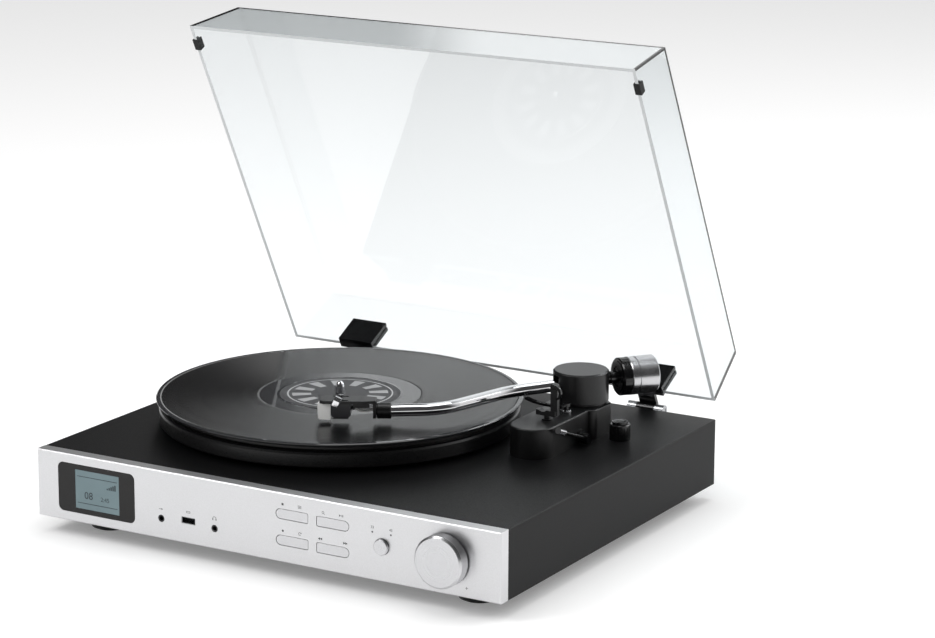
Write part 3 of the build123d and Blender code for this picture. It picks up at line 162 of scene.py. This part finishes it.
def texturedAbs():
    # ABS moulded against a spark-eroded tool: an even fine grain that spreads highlights
    v = {"dark": "070708", "light": "0f0f10", "grainMm": 0.6, "grainDepthMm": 0.03, "roughness": 0.4}
    material, tree, shader = startMaterial("grainedBlackAbs")
    vector = objectCoordinates(tree)
    grain = addNode(tree, "ShaderNodeTexNoise",
                    {"Scale": perMetre(v["grainMm"]), "Detail": 2.0, "Roughness": 0.6},
                    {"Vector": vector})
    mixedColor(tree, shader, grain.outputs["Fac"], v["dark"], v["light"])
    tree.links.new(ranged(tree, grain.outputs["Fac"], 0.3, 0.7, v["roughness"] - 0.05,
                          v["roughness"] + 0.07),
                   shader.inputs["Roughness"])
    bumpFrom(tree, shader, grain.outputs["Fac"], 0.5, v["grainDepthMm"])
    setShader(shader, ior=1.5, specular=0.12)
    return material


def polishedAbs(name, code, roughness=0.16, specular=0.5):
    # ABS from a polished tool: a clear gloss with a faint moulded ripple
    v = {"rippleMm": 9.0, "rippleDepthMm": 0.02}
    material, tree, shader = startMaterial(name)
    vector = objectCoordinates(tree)
    ripple = addNode(tree, "ShaderNodeTexNoise", {"Scale": perMetre(v["rippleMm"]), "Detail": 1.0},
                     {"Vector": vector})
    setShader(shader, color=linear(code), ior=1.5, specular=specular)
    tree.links.new(ranged(tree, ripple.outputs["Fac"], 0.3, 0.7, roughness - 0.03, roughness + 0.04),
                   shader.inputs["Roughness"])
    bumpFrom(tree, shader, ripple.outputs["Fac"], 0.15, v["rippleDepthMm"])
    return material


def satinPaint(name, code, roughness, grainMm=0.7):
    # baked enamel over cast metal: smooth, with a slight orange peel
    material, tree, shader = startMaterial(name)
    vector = objectCoordinates(tree)
    peel = addNode(tree, "ShaderNodeTexNoise", {"Scale": perMetre(grainMm), "Detail": 2.0},
                   {"Vector": vector})
    setShader(shader, color=linear(code), ior=1.5)
    tree.links.new(ranged(tree, peel.outputs["Fac"], 0.3, 0.7, roughness - 0.04, roughness + 0.05),
                   shader.inputs["Roughness"])
    bumpFrom(tree, shader, peel.outputs["Fac"], 0.25, 0.015)
    return material


def blastedAluminium(name, code, light, roughness=0.36):
    # aluminium, bead-blasted and clear anodised: a pale, even metal with a fine sparkle
    v = {"gritMm": 0.7, "gritDepthMm": 0.012}
    material, tree, shader = startMaterial(name)
    vector = objectCoordinates(tree)
    grit = addNode(tree, "ShaderNodeTexNoise",
                   {"Scale": perMetre(v["gritMm"]), "Detail": 3.0, "Roughness": 0.7},
                   {"Vector": vector})
    setShader(shader, metallic=1.0)
    mixedColor(tree, shader, ranged(tree, grit.outputs["Fac"], 0.3, 0.7, 0, 1), code, light)
    tree.links.new(ranged(tree, grit.outputs["Fac"], 0.3, 0.7, roughness - 0.06, roughness + 0.08),
                   shader.inputs["Roughness"])
    bumpFrom(tree, shader, grit.outputs["Fac"], 0.3, v["gritDepthMm"])
    return material


def turnedAluminium(name, centre, code="c2c2c4", roughness=0.28):
    # aluminium faced on a lathe: fine rings about the knob's own axis along Y
    v = {"ringMm": 0.5}
    material, tree, shader = startMaterial(name)
    vector = objectCoordinates(tree, location=(-centre.x, 0, -centre.z))
    parts = addNode(tree, "ShaderNodeSeparateXYZ", {}, {"Vector": vector})
    flat = addNode(tree, "ShaderNodeCombineXYZ", {}, {"X": parts.outputs["X"], "Y": parts.outputs["Z"]})
    length = addNode(tree, "ShaderNodeVectorMath", {"operation": "LENGTH"}, {0: flat.outputs["Vector"]})
    rings = addNode(tree, "ShaderNodeTexNoise",
                    {"noise_dimensions": "1D", "Scale": perMetre(v["ringMm"]), "Detail": 2.0},
                    {"W": length.outputs["Value"]})
    setShader(shader, metallic=1.0)
    mixedColor(tree, shader, rings.outputs["Fac"], code, "d4d4d6")
    tree.links.new(ranged(tree, rings.outputs["Fac"], 0.3, 0.7, roughness - 0.05, roughness + 0.06),
                   shader.inputs["Roughness"])
    bumpFrom(tree, shader, rings.outputs["Fac"], 0.2, 0.01)
    return material


def platedMetal(name, code, roughness, smearMm=14.0):
    # bright plating: a mirror that handling has dulled by a trace here and there
    material, tree, shader = startMaterial(name)
    vector = objectCoordinates(tree)
    smear = addNode(tree, "ShaderNodeTexNoise", {"Scale": perMetre(smearMm), "Detail": 3.0},
                    {"Vector": vector})
    setShader(shader, color=linear(code), metallic=1.0)
    tree.links.new(ranged(tree, smear.outputs["Fac"], 0.35, 0.7, roughness, roughness + 0.05),
                   shader.inputs["Roughness"])
    return material


def mouldedRubber(name, code, roughness=0.75):
    # vulcanised rubber: dull, with a powdery bloom
    material, tree, shader = startMaterial(name)
    vector = objectCoordinates(tree)
    bloom = addNode(tree, "ShaderNodeTexNoise", {"Scale": perMetre(1.2), "Detail": 4.0}, {"Vector": vector})
    mixedColor(tree, shader, bloom.outputs["Fac"], code, "1f1f20")
    setShader(shader, roughness=roughness, ior=1.52)
    bumpFrom(tree, shader, bloom.outputs["Fac"], 0.3, 0.02)
    return material


def radiusAbout(tree, centre):
    # distance from the spindle's axis, in metres, and the flat vector it comes from
    vector = objectCoordinates(tree, location=(-centre.x, -centre.y, 0))
    parts = addNode(tree, "ShaderNodeSeparateXYZ", {}, {"Vector": vector})
    flat = addNode(tree, "ShaderNodeCombineXYZ", {}, {"X": parts.outputs["X"], "Y": parts.outputs["Y"]})
    length = addNode(tree, "ShaderNodeVectorMath", {"operation": "LENGTH"}, {0: flat.outputs["Vector"]})
    return length.outputs["Value"], parts


def pressedVinyl():
    # PVC pressed with a spiral groove: the grooved band is a little duller than the plain bands, and the
    # plain bands are painted a lighter grey, a painted sheen
    v = {
        "code": "060607", "plain": "2c2c2e", "grooveMm": 0.5, "bandMm": 5.0, "deadWaxMm": 66.5,
        "edgeMm": 146.6, "groovedRoughness": 0.26, "plainRoughness": 0.05,
    }
    material, tree, shader = startMaterial("pressedVinyl")
    centre = place(spindlePlace["x"], spindlePlace["y"], 0)
    radius = radiusAbout(tree, centre)[0]
    groove = addNode(tree, "ShaderNodeTexNoise",
                     {"noise_dimensions": "1D", "Scale": perMetre(v["grooveMm"]), "Detail": 1.0},
                     {"W": radius})
    bands = addNode(tree, "ShaderNodeTexNoise",
                    {"noise_dimensions": "1D", "Scale": perMetre(v["bandMm"]), "Detail": 2.0},
                    {"W": radius})
    outside = addNode(tree, "ShaderNodeMath", {"operation": "GREATER_THAN", 1: v["deadWaxMm"] * mm},
                      {0: radius})
    inside = addNode(tree, "ShaderNodeMath", {"operation": "LESS_THAN", 1: v["edgeMm"] * mm}, {0: radius})
    grooved = addNode(tree, "ShaderNodeMath", {"operation": "MULTIPLY"},
                      {0: outside.outputs[0], 1: inside.outputs[0]})
    banded = ranged(tree, bands.outputs["Fac"], 0.3, 0.7, 0.85, 1.15)
    strength = addNode(tree, "ShaderNodeMath", {"operation": "MULTIPLY"},
                       {0: grooved.outputs[0], 1: banded})
    tree.links.new(ranged(tree, strength.outputs[0], 0, 1, v["plainRoughness"], v["groovedRoughness"]),
                   shader.inputs["Roughness"])
    ridges = addNode(tree, "ShaderNodeMath", {"operation": "MULTIPLY"},
                     {0: groove.outputs["Fac"], 1: grooved.outputs[0]})
    # painted sheen: the dead wax and the outer edge get a lighter grey than the grooved band's black
    mixedColor(tree, shader, grooved.outputs[0], v["plain"], v["code"])
    setShader(shader, ior=1.54, anisotropic=0.8)
    tangent = addNode(tree, "ShaderNodeTangent", {"direction_type": "RADIAL", "axis": "Z"})
    tree.links.new(tangent.outputs["Tangent"], shader.inputs["Tangent"])
    bumpFrom(tree, shader, ridges.outputs[0], 0.2, 0.01)
    return material


def printedLabel():
    # a coated paper disc with a printed ring, a plain band and simple rays of a generic design
    v = {"paper": "2c2c2e", "ink": "a9a9aa", "ringMm": 43.0, "ringWidthMm": 1.2, "bandMm": 24.0, "rays": 24,
         "rayInsetMm": 3.5, "rayStrength": 0.75}
    material, tree, shader = startMaterial("printedLabelPaper")
    centre = place(spindlePlace["x"], spindlePlace["y"], 0)
    radius, parts = radiusAbout(tree, centre)
    ringOffset = addNode(tree, "ShaderNodeMath", {"operation": "SUBTRACT", 1: v["ringMm"] * mm},
                         {0: radius})
    ringSize = addNode(tree, "ShaderNodeMath", {"operation": "ABSOLUTE"}, {0: ringOffset.outputs[0]})
    ring = addNode(tree, "ShaderNodeMath", {"operation": "LESS_THAN", 1: v["ringWidthMm"] / 2 * mm},
                   {0: ringSize.outputs[0]})
    angle = addNode(tree, "ShaderNodeMath", {"operation": "ARCTAN2"},
                    {0: parts.outputs["Y"], 1: parts.outputs["X"]})
    turns = addNode(tree, "ShaderNodeMath", {"operation": "MULTIPLY", 1: v["rays"] / 2},
                    {0: angle.outputs[0]})
    wave = addNode(tree, "ShaderNodeMath", {"operation": "SINE"}, {0: turns.outputs[0]})
    ray = addNode(tree, "ShaderNodeMath", {"operation": "GREATER_THAN", 1: 0.1}, {0: wave.outputs[0]})
    outside = addNode(tree, "ShaderNodeMath", {"operation": "GREATER_THAN", 1: v["bandMm"] * mm},
                      {0: radius})
    inside = addNode(tree, "ShaderNodeMath", {"operation": "LESS_THAN",
                                              1: (v["ringMm"] - v["rayInsetMm"]) * mm},
                     {0: radius})
    rays = addNode(tree, "ShaderNodeMath", {"operation": "MULTIPLY"},
                   {0: outside.outputs[0], 1: inside.outputs[0]})
    rayInk = addNode(tree, "ShaderNodeMath", {"operation": "MULTIPLY"},
                     {0: rays.outputs[0], 1: ray.outputs[0]})
    faint = addNode(tree, "ShaderNodeMath", {"operation": "MULTIPLY", 1: v["rayStrength"]},
                    {0: rayInk.outputs[0]})
    ink = addNode(tree, "ShaderNodeMath", {"operation": "MAXIMUM"},
                  {0: faint.outputs[0], 1: ring.outputs[0]})
    mixedColor(tree, shader, ink.outputs[0], v["paper"], v["ink"])
    setShader(shader, roughness=0.45, ior=1.5)
    return material


def clearAcrylic():
    # cast acrylic sheet: clear and glossy, but frosted white by the saw along the cover's rim
    v = {
        "tint": "f6f9fa", "sawn": "e3e6e7", "sawnRoughness": 0.45, "ior": 1.49,
        "openAngle": 62.6, "hingeY": 190.9, "hingeZ": 66.1, "rimHeight": 4.4, "rimDepth": 0.2,
    }
    material, tree, shader = startMaterial("clearAcrylic")
    # the rim's end faces lie in one plane, tipped up with the open cover
    turn = math.radians(v["openAngle"])
    vector = objectCoordinates(tree, location=-place(0, v["hingeY"], v["hingeZ"]))
    height = addNode(tree, "ShaderNodeVectorMath",
                     {"operation": "DOT_PRODUCT", 1: (0, math.sin(turn), math.cos(turn))},
                     {0: vector})
    offset = addNode(tree, "ShaderNodeMath", {"operation": "SUBTRACT", 1: v["rimHeight"] * mm},
                     {0: height.outputs["Value"]})
    distance = addNode(tree, "ShaderNodeMath", {"operation": "ABSOLUTE"}, {0: offset.outputs[0]})
    sawn = addNode(tree, "ShaderNodeMath", {"operation": "LESS_THAN", 1: v["rimDepth"] * mm},
                   {0: distance.outputs[0]})
    mixedColor(tree, shader, sawn.outputs[0], v["tint"], v["sawn"])
    tree.links.new(ranged(tree, sawn.outputs[0], 0, 1, 0, v["sawnRoughness"]), shader.inputs["Roughness"])
    tree.links.new(ranged(tree, sawn.outputs[0], 0, 1, 1, 0), shader.inputs["Transmission Weight"])
    setShader(shader, ior=v["ior"])
    path = addNode(tree, "ShaderNodeLightPath")
    clear = addNode(tree, "ShaderNodeBsdfTransparent", {"Color": linear("eef2f3")})
    mix = addNode(tree, "ShaderNodeMixShader", {},
                  {0: path.outputs["Is Shadow Ray"], 1: shader.outputs[0], 2: clear.outputs[0]})
    tree.links.new(mix.outputs[0], tree.nodes["Material Output"].inputs["Surface"])
    return material


def displayGlass():
    # a reflective liquid crystal panel: grey-blue, in soft random clouds of a little lighter and darker
    # tone
    v = {"edge": "5e747a", "middle": "798f94", "cloudMm": 40.0}
    material, tree, shader = startMaterial("liquidCrystalGlass")
    vector = objectCoordinates(tree)
    cloud = addNode(tree, "ShaderNodeTexNoise", {"Scale": perMetre(v["cloudMm"]), "Detail": 1.0},
                    {"Vector": vector})
    mixedColor(tree, shader, cloud.outputs["Fac"], v["edge"], v["middle"])
    setShader(shader, roughness=0.22, ior=1.5, coat=0.2)
    return material


def solderMask():
    # a fibreglass board under green lacquer
    material, tree, shader = startMaterial("greenSolderMask")
    vector = objectCoordinates(tree)
    weave = addNode(tree, "ShaderNodeTexChecker", {"Scale": perMetre(2.5)}, {"Vector": vector})
    mixedColor(tree, shader, weave.outputs["Fac"], "0d3b22", "13492b")
    setShader(shader, roughness=0.35)
    return material


def plainInk(name, code):
    # silk-screen ink: flat and even, with a faint tooth
    material, tree, shader = startMaterial(name)
    vector = objectCoordinates(tree)
    tooth = addNode(tree, "ShaderNodeTexNoise", {"Scale": perMetre(0.8), "Detail": 2.0}, {"Vector": vector})
    setShader(shader, color=linear(code))
    tree.links.new(ranged(tree, tooth.outputs["Fac"], 0.3, 0.7, 0.5, 0.65), shader.inputs["Roughness"])
    return material


def leadInsulation():
    # four thin leads in pale greys, told apart across the headshell
    v = {"codes": ["c4c4c2", "e6e6e4", "9c9da0", "d6d6d4"], "angle": 28.33, "x": -11.8, "y": -62.2,
         "reachMm": 5.2}
    material, tree, shader = startMaterial("leadInsulation")
    turn = math.radians(v["angle"])
    start = place(v["x"], v["y"], 0)
    vector = objectCoordinates(tree, location=(-start.x, -start.y, 0))
    parts = addNode(tree, "ShaderNodeSeparateXYZ", {}, {"Vector": vector})
    across = addNode(tree, "ShaderNodeMath", {"operation": "MULTIPLY", 1: -math.sin(turn)},
                     {0: parts.outputs["X"]})
    along = addNode(tree, "ShaderNodeMath", {"operation": "MULTIPLY", 1: math.cos(turn)},
                    {0: parts.outputs["Y"]})
    side = addNode(tree, "ShaderNodeMath", {"operation": "ADD"},
                   {0: across.outputs[0], 1: along.outputs[0]})
    share = ranged(tree, side.outputs[0], -v["reachMm"] * mm, v["reachMm"] * mm, 0.0, 1.0)
    ramp = addNode(tree, "ShaderNodeValToRGB", {}, {"Fac": share})
    ramp.color_ramp.interpolation = "CONSTANT"
    for index, code in enumerate(v["codes"]):
        if index > 1:
            ramp.color_ramp.elements.new(index / 4)
        stop = ramp.color_ramp.elements[index]
        stop.position = index / 4
        stop.color = linear(code)
    tree.links.new(ramp.outputs["Color"], shader.inputs["Base Color"])
    setShader(shader, roughness=0.4)
    return material


knobCentre = place(166, bodyPlaces["frontY"], bodyPlaces["bottomZ"] + 27.4)
speedCentre = place(110.7, bodyPlaces["frontY"], bodyPlaces["bottomZ"] + 27.5)
grainedAbs = texturedAbs()
glossBlack = polishedAbs("polishedBlackAbs", "0b0b0c")
windowBlack = polishedAbs("smokedDisplayWindow", "100e0e", 0.08, 0.35)
whiteAbs = polishedAbs("whiteStylusAbs", "f4f4f2", 0.2)
greyAbs = polishedAbs("greyCartridgeAbs", "2d2d30", 0.3)
armEnamel = satinPaint("satinBlackEnamel", "0b0b0c", 0.34)
platterEnamel = satinPaint("platterBlackEnamel", "0d0d0e", 0.3)
fasciaMetal = blastedAluminium("blastedFasciaAluminium", "d3d3d4", "dddddf")
keyMetal = blastedAluminium("blastedKeyAluminium", "cbcbcd", "d5d5d7", 0.34)
knobMetal = turnedAluminium("turnedKnobAluminium", knobCentre)
selectorMetal = turnedAluminium("turnedSelectorAluminium", speedCentre)
chrome = platedMetal("brightChrome", "e4e4e6", 0.04)
weightMetal = platedMetal("turnedWeightSteel", "c4c4c6", 0.2)
steel = platedMetal("nickelledSteel", "a8a9ab", 0.22)
brass = platedMetal("turnedBrass", "c7a35a", 0.25)
rubberBlack = mouldedRubber("blackRubber", "131313")
matRubber = mouldedRubber("slipMatRubber", "101010", 0.85)

nodeMaterials = {
    grainedAbs: ["plinth", "base_cover", "mains_inlet"],
    glossBlack: ["feet", "aux_jack", "headphone_jack", "arm_clip", "cue_lift", "cue_lever",
                 "anti_skate_dial", "force_dial", "hinge_clips", "tail_stub"],
    windowBlack: ["display_window"],
    whiteAbs: ["stylus"],
    greyAbs: ["cartridge"],
    armEnamel: ["arm_base", "arm_rest", "bearing_housing", "headshell", "locking_collar", "arm_collar"],
    platterEnamel: ["platter"],
    fasciaMetal: ["front_fascia"],
    keyMetal: ["key_1", "key_2", "key_3", "key_4"],
    knobMetal: ["volume_knob"],
    selectorMetal: ["speed_knob"],
    chrome: ["spindle", "arm_tube", "finger_lift", "cue_lever_tip"],
    weightMetal: ["counterweight"],
    steel: ["base_screws", "usb_socket", "volume_shaft", "motor", "pivot_bearings", "lift_cylinder",
            "cartridge_screws", "hinge_hardware", "rear_panel"],
    brass: ["bearing_well", "motor_pulley", "back_sockets"],
    rubberBlack: ["foot_pads", "motor_mounts", "drive_belt", "cover_bumpers"],
    matRubber: ["platter_mat"],
    pressedVinyl(): ["record"],
    printedLabel(): ["record_label"],
    clearAcrylic(): ["dust_cover"],
    displayGlass(): ["lcd_module"],
    solderMask(): ["control_board", "main_board", "power_supply"],
    leadInsulation(): ["lead_wires"],
}


def dressNodes():
    dressed = set()
    for material, names in nodeMaterials.items():
        for name in names:
            mesh = nodes[name].data
            mesh.materials.clear()
            mesh.materials.append(material)
            dressed.add(name)
    missing = set(nodes) - dressed
    if missing:
        raise ValueError(f"no finish for {sorted(missing)}")


dressNodes()
print("nodes dressed")


# Modelling helpers

def deselectAll():
    if bpy.context.object and bpy.context.object.mode != "OBJECT":
        bpy.ops.object.mode_set(mode="OBJECT")
    bpy.ops.object.select_all(action="DESELECT")


def settle(obj):
    # puts the piece's place into its mesh
    deselectAll()
    obj.select_set(True)
    bpy.context.view_layer.objects.active = obj
    bpy.ops.object.transform_apply(location=True, rotation=True, scale=True)


def finishPiece(obj, name, material, body):
    obj.name = name
    obj.data.name = name
    obj.data.materials.clear()
    obj.data.materials.append(material)
    settle(obj)
    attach(obj, body)
    return obj


def joined(objects):
    deselectAll()
    for obj in objects:
        obj.select_set(True)
    bpy.context.view_layer.objects.active = objects[0]
    bpy.ops.object.join()
    return bpy.context.object


def writtenMark(text, sizeMm, at, rotation):
    # a thin raised mark of ink, from a text made into a mesh
    deselectAll()
    bpy.ops.object.text_add(location=at, rotation=rotation)
    mark = bpy.context.object
    mark.data.body = text
    mark.data.size = sizeMm * mm
    mark.data.align_x = "CENTER"
    mark.data.align_y = "CENTER"
    mark.data.resolution_u = 4
    mark.data.extrude = 0.02 * mm
    bpy.ops.object.convert(target="MESH")
    return bpy.context.object


def shapeMark(corners, at, rotation, thicknessMm=0.03):
    # a flat printed shape: a one-face plane reshaped to its corners and given the ink's thickness
    deselectAll()
    bpy.ops.mesh.primitive_circle_add(vertices=len(corners), radius=mm, fill_type="NGON",
                                      location=(0, 0, 0))
    mark = bpy.context.object
    for vertex, corner in zip(mark.data.vertices, corners):
        vertex.co = (corner[0] * mm, corner[1] * mm, 0)
    bpy.ops.object.mode_set(mode="EDIT")
    bpy.ops.mesh.select_all(action="SELECT")
    bpy.ops.mesh.normals_make_consistent(inside=False)
    bpy.ops.mesh.extrude_region_move(TRANSFORM_OT_translate={"value": (0, 0, thicknessMm * mm)})
    bpy.ops.object.mode_set(mode="OBJECT")
    mark.location = at
    mark.rotation_euler = rotation
    return mark


facing = (math.radians(90), 0, 0)  # a mark drawn flat is stood up to face the front


# Front marks in grey ink

frontMarks = {
    "ink": "4a4a4c",
    "numerals": [("33", 102.2, 41.6, 3.0), ("45", 118.6, 41.6, 3.0), ("+", 184.5, 7.4, 4.6),
                 ("-", 147.5, 7.4, 4.6)],
    "dots": [(102.2, 37.9), (118.6, 37.9)],
    "dotRadius": 0.75,
    "arrows": [(56.4, 24.6, -1), (77.2, 24.6, 1)],
    "menu": (37.0, 46.4),
    "stop": (21.5, 46.4),
    "scan": (58.2, 45.8),
    "play": (74.5, 45.8),
    "record": (21.5, 25.3),
    "repeat": (37.0, 25.3),
    "headphones": (-42.0, 24.6),
    "input": (-92.6, 24.2),
    "slot": (-66.7, 25.6),
    "lift": 0.02,
}


def barSign(left, right, low, high):
    return [(left, low), (right, low), (right, high), (left, high)]


def arcSign(radius, width, start, end, steps=12):
    # a curved stroke between two angles
    angles = [math.radians(start + (end - start) * i / steps) for i in range(steps + 1)]
    outer = [((radius + width / 2) * math.cos(a), (radius + width / 2) * math.sin(a)) for a in angles]
    inner = [((radius - width / 2) * math.cos(a), (radius - width / 2) * math.sin(a))
             for a in reversed(angles)]
    return outer + inner


plainSigns = {
    "menu": [barSign(-1.6, 1.6, h, h + 0.35) for h in (-0.9, 0.0, 0.9)],
    "stop": [barSign(-0.9, 0.9, -0.8, 1.0)],
    "scan": [arcSign(0.9, 0.35, 0, 350), [(0.5, -0.7), (0.75, -0.5), (1.7, -1.5), (1.45, -1.7)]],
    "play": [[(-1.8, -0.9), (-0.2, 0.0), (-1.8, 0.9)], barSign(0.5, 0.9, -0.9, 0.9),
             barSign(1.4, 1.8, -0.9, 0.9)],
    "record": [arcSign(0.45, 0.9, 0, 359, 20)],
    "repeat": [arcSign(1.1, 0.35, 40, 320), [(0.5, 0.3), (1.7, 0.3), (1.1, 1.3)]],
    "headphones": [arcSign(1.5, 0.4, 0, 180), barSign(-1.9, -1.1, -1.4, 0.1), barSign(1.1, 1.9, -1.4, 0.1)],
    "input": [barSign(-2.0, 0.4, -0.2, 0.2), [(0.4, 0.8), (0.4, -0.8), (1.7, 0.0)]],
    "slot": [barSign(-1.8, 1.8, -0.7, -0.35), barSign(-1.8, 1.8, 0.55, 0.9),
             barSign(-1.8, -1.45, -0.7, 0.9),
             barSign(1.45, 1.8, -0.7, 0.9)],
}


def makeFrontMarks(v):
    y = bodyPlaces["frontY"] - v["lift"]
    base = bodyPlaces["bottomZ"]
    marks = [writtenMark(text, size, place(x, y, base + h), facing) for text, x, h, size in v["numerals"]]
    for x, h in v["dots"]:
        steps = [math.tau * i / 20 for i in range(20)]
        corners = [(v["dotRadius"] * math.cos(a), v["dotRadius"] * math.sin(a)) for a in steps]
        marks.append(shapeMark(corners, place(x, y, base + h), facing))
    for x, h, side in v["arrows"]:
        for step in (0, 1.9):
            triangle = [(side * 1.0, 0), (-side * 0.9, 1.1), (-side * 0.9, -1.1)]
            marks.append(shapeMark(triangle, place(x + side * step, y, base + h), facing))
    for name, sign in plainSigns.items():
        x, h = v[name]
        marks += [shapeMark(corners, place(x, y, base + h), facing) for corners in sign]
    finishPiece(joined(marks), "front_marks", plainInk("greyScreenInk", v["ink"]), "chassis")


makeFrontMarks(frontMarks)


# Display contents: rules and plain digits

displayMarks = {
    "ink": "1d2a30", "x": -155.0, "face": -178.8, "lift": 0.02,
    "digits": [("08", -163.5, 23.0, 8.5), ("2:45", -147.5, 22.0, 5.0)],
    "rules": [(38.4, 39.0), (16.5, 39.0)],
    "bars": {"count": 5, "x": 10, "h": 31.0, "step": 1.9, "width": 1.2, "least": 1.2, "rise": 0.9},
}


def makeDisplayMarks(v):
    base = bodyPlaces["bottomZ"]
    y = v["face"] - v["lift"]
    marks = [writtenMark(text, size, place(x, y, base + h), facing) for text, x, h, size in v["digits"]]
    for h, width in v["rules"]:
        rule = barSign(-width / 2, width / 2, -0.25, 0.25)
        marks.append(shapeMark(rule, place(v["x"], y, base + h), facing))
    bars = v["bars"]
    for index in range(bars["count"]):
        bar = barSign(-bars["width"] / 2, bars["width"] / 2, 0, bars["least"] + index * bars["rise"])
        at = place(v["x"] + bars["x"] + index * bars["step"], y, base + bars["h"])
        marks.append(shapeMark(bar, at, facing))
    finishPiece(joined(marks), "display_marks", plainInk("displaySegments", v["ink"]), "chassis")


makeDisplayMarks(displayMarks)
print("front marks made")


# Stage

stageValues = {
    "floor": "f0f0f0", "floorSize": 12.0, "floorShown": 0.2,
    "diffuse": 0.55, "dark": 0.06, "bright": 1.1,
    "brightFrom": (-34, -32), "brightTo": (60, 100), "brightTop": (50, 70),
    "lamps": [
        {"name": "keySoftbox", "at": (-1.3, -1.5, 2.1), "size": (1.2, 1.2), "power": 24},
        {"name": "rearSoftbox", "at": (1.3, 1.6, 1.5), "size": (1.6, 1.0), "power": 16},
        {"name": "topSoftbox", "at": (0.1, 0.2, 2.4), "size": (1.6, 1.6), "power": 20},
    ],
    "aim": (0.0, 0.0, 0.08),
}


def shownShare(tree):
    # 1 for the rays that show the studio: straight from the camera, through glass or off a gloss
    path = addNode(tree, "ShaderNodeLightPath")
    clear = addNode(tree, "ShaderNodeMath", {"operation": "MAXIMUM"},
                    {0: path.outputs["Is Camera Ray"], 1: path.outputs["Is Transmission Ray"]})
    shown = addNode(tree, "ShaderNodeMath", {"operation": "MAXIMUM"},
                    {0: clear.outputs[0], 1: path.outputs["Is Glossy Ray"]})
    return path, shown.outputs[0]


def makeFloor(v):
    deselectAll()
    bpy.ops.mesh.primitive_plane_add(size=v["floorSize"], location=(0, 0, 0))
    floor = bpy.context.object
    floor.name = "floor"
    material, tree, shader = startMaterial("paleFloor")
    setShader(shader, color=linear(v["floor"]), roughness=0.9, specular=0.0)
    path, shown = shownShare(tree)
    shader.inputs["Emission Color"].default_value = (1, 1, 1, 1)
    tree.links.new(ranged(tree, shown, 0, 1, 0, v["floorShown"]), shader.inputs["Emission Strength"])
    floor.data.materials.append(material)


def smoothRange(tree, value, low, high, first, last):
    node = addNode(tree, "ShaderNodeMapRange",
                   {"interpolation_type": "SMOOTHSTEP", "From Min": low, "From Max": high,
                                               "To Min": first, "To Max": last}, {"Value": value})
    return node.outputs["Result"]


def makeWorld(v):
    # white to the camera; in reflections a dark room with one wide bright wall behind, to the right
    world = bpy.data.worlds.new("studio")
    bpy.context.scene.world = world
    world.use_nodes = True
    tree = world.node_tree
    background = tree.nodes["Background"]
    source = addNode(tree, "ShaderNodeTexCoord")
    way = addNode(tree, "ShaderNodeSeparateXYZ", {}, {"Vector": source.outputs["Generated"]})
    azimuth = addNode(tree, "ShaderNodeMath", {"operation": "ARCTAN2"},
                      {0: way.outputs["X"], 1: way.outputs["Y"]})
    height = addNode(tree, "ShaderNodeMath", {"operation": "ARCSINE"}, {0: way.outputs["Z"]})
    fades = []
    for name, socket, first in (("brightFrom", azimuth, 0), ("brightTo", azimuth, 1),
                                ("brightTop", height, 1)):
        low, high = (math.radians(a) for a in v[name])
        fades.append(smoothRange(tree, socket.outputs[0], low, high, first, 1 - first))
    wall = addNode(tree, "ShaderNodeMath", {"operation": "MULTIPLY"}, {0: fades[0], 1: fades[1]})
    wall = addNode(tree, "ShaderNodeMath", {"operation": "MULTIPLY"}, {0: wall.outputs[0], 1: fades[2]})
    mirrored = ranged(tree, wall.outputs[0], 0, 1, v["dark"], v["bright"])
    path, shown = shownShare(tree)
    level = addNode(tree, "ShaderNodeMix", {"data_type": "FLOAT"})
    tree.links.new(shown, level.inputs[0])
    level.inputs[2].default_value = v["diffuse"]
    tree.links.new(mirrored, level.inputs[3])
    strength = addNode(tree, "ShaderNodeMath", {"operation": "MAXIMUM"},
                       {0: level.outputs[0], 1: path.outputs["Is Camera Ray"]})
    background.inputs["Color"].default_value = (1, 1, 1, 1)
    tree.links.new(strength.outputs[0], background.inputs["Strength"])


def makeLamps(v):
    for lamp in v["lamps"]:
        data = bpy.data.lights.new(lamp["name"], "AREA")
        data.shape = "RECTANGLE"
        data.size, data.size_y = lamp["size"]
        data.energy = lamp["power"]
        obj = bpy.data.objects.new(lamp["name"], data)
        bpy.context.scene.collection.objects.link(obj)
        obj.location = lamp["at"]
        obj.rotation_euler = (Vector(lamp["at"]) - Vector(v["aim"])).to_track_quat("Z", "Y").to_euler()
    bpy.context.scene.view_settings.view_transform = "Standard"


makeFloor(stageValues)
makeWorld(stageValues)
makeLamps(stageValues)
print("stage lit")
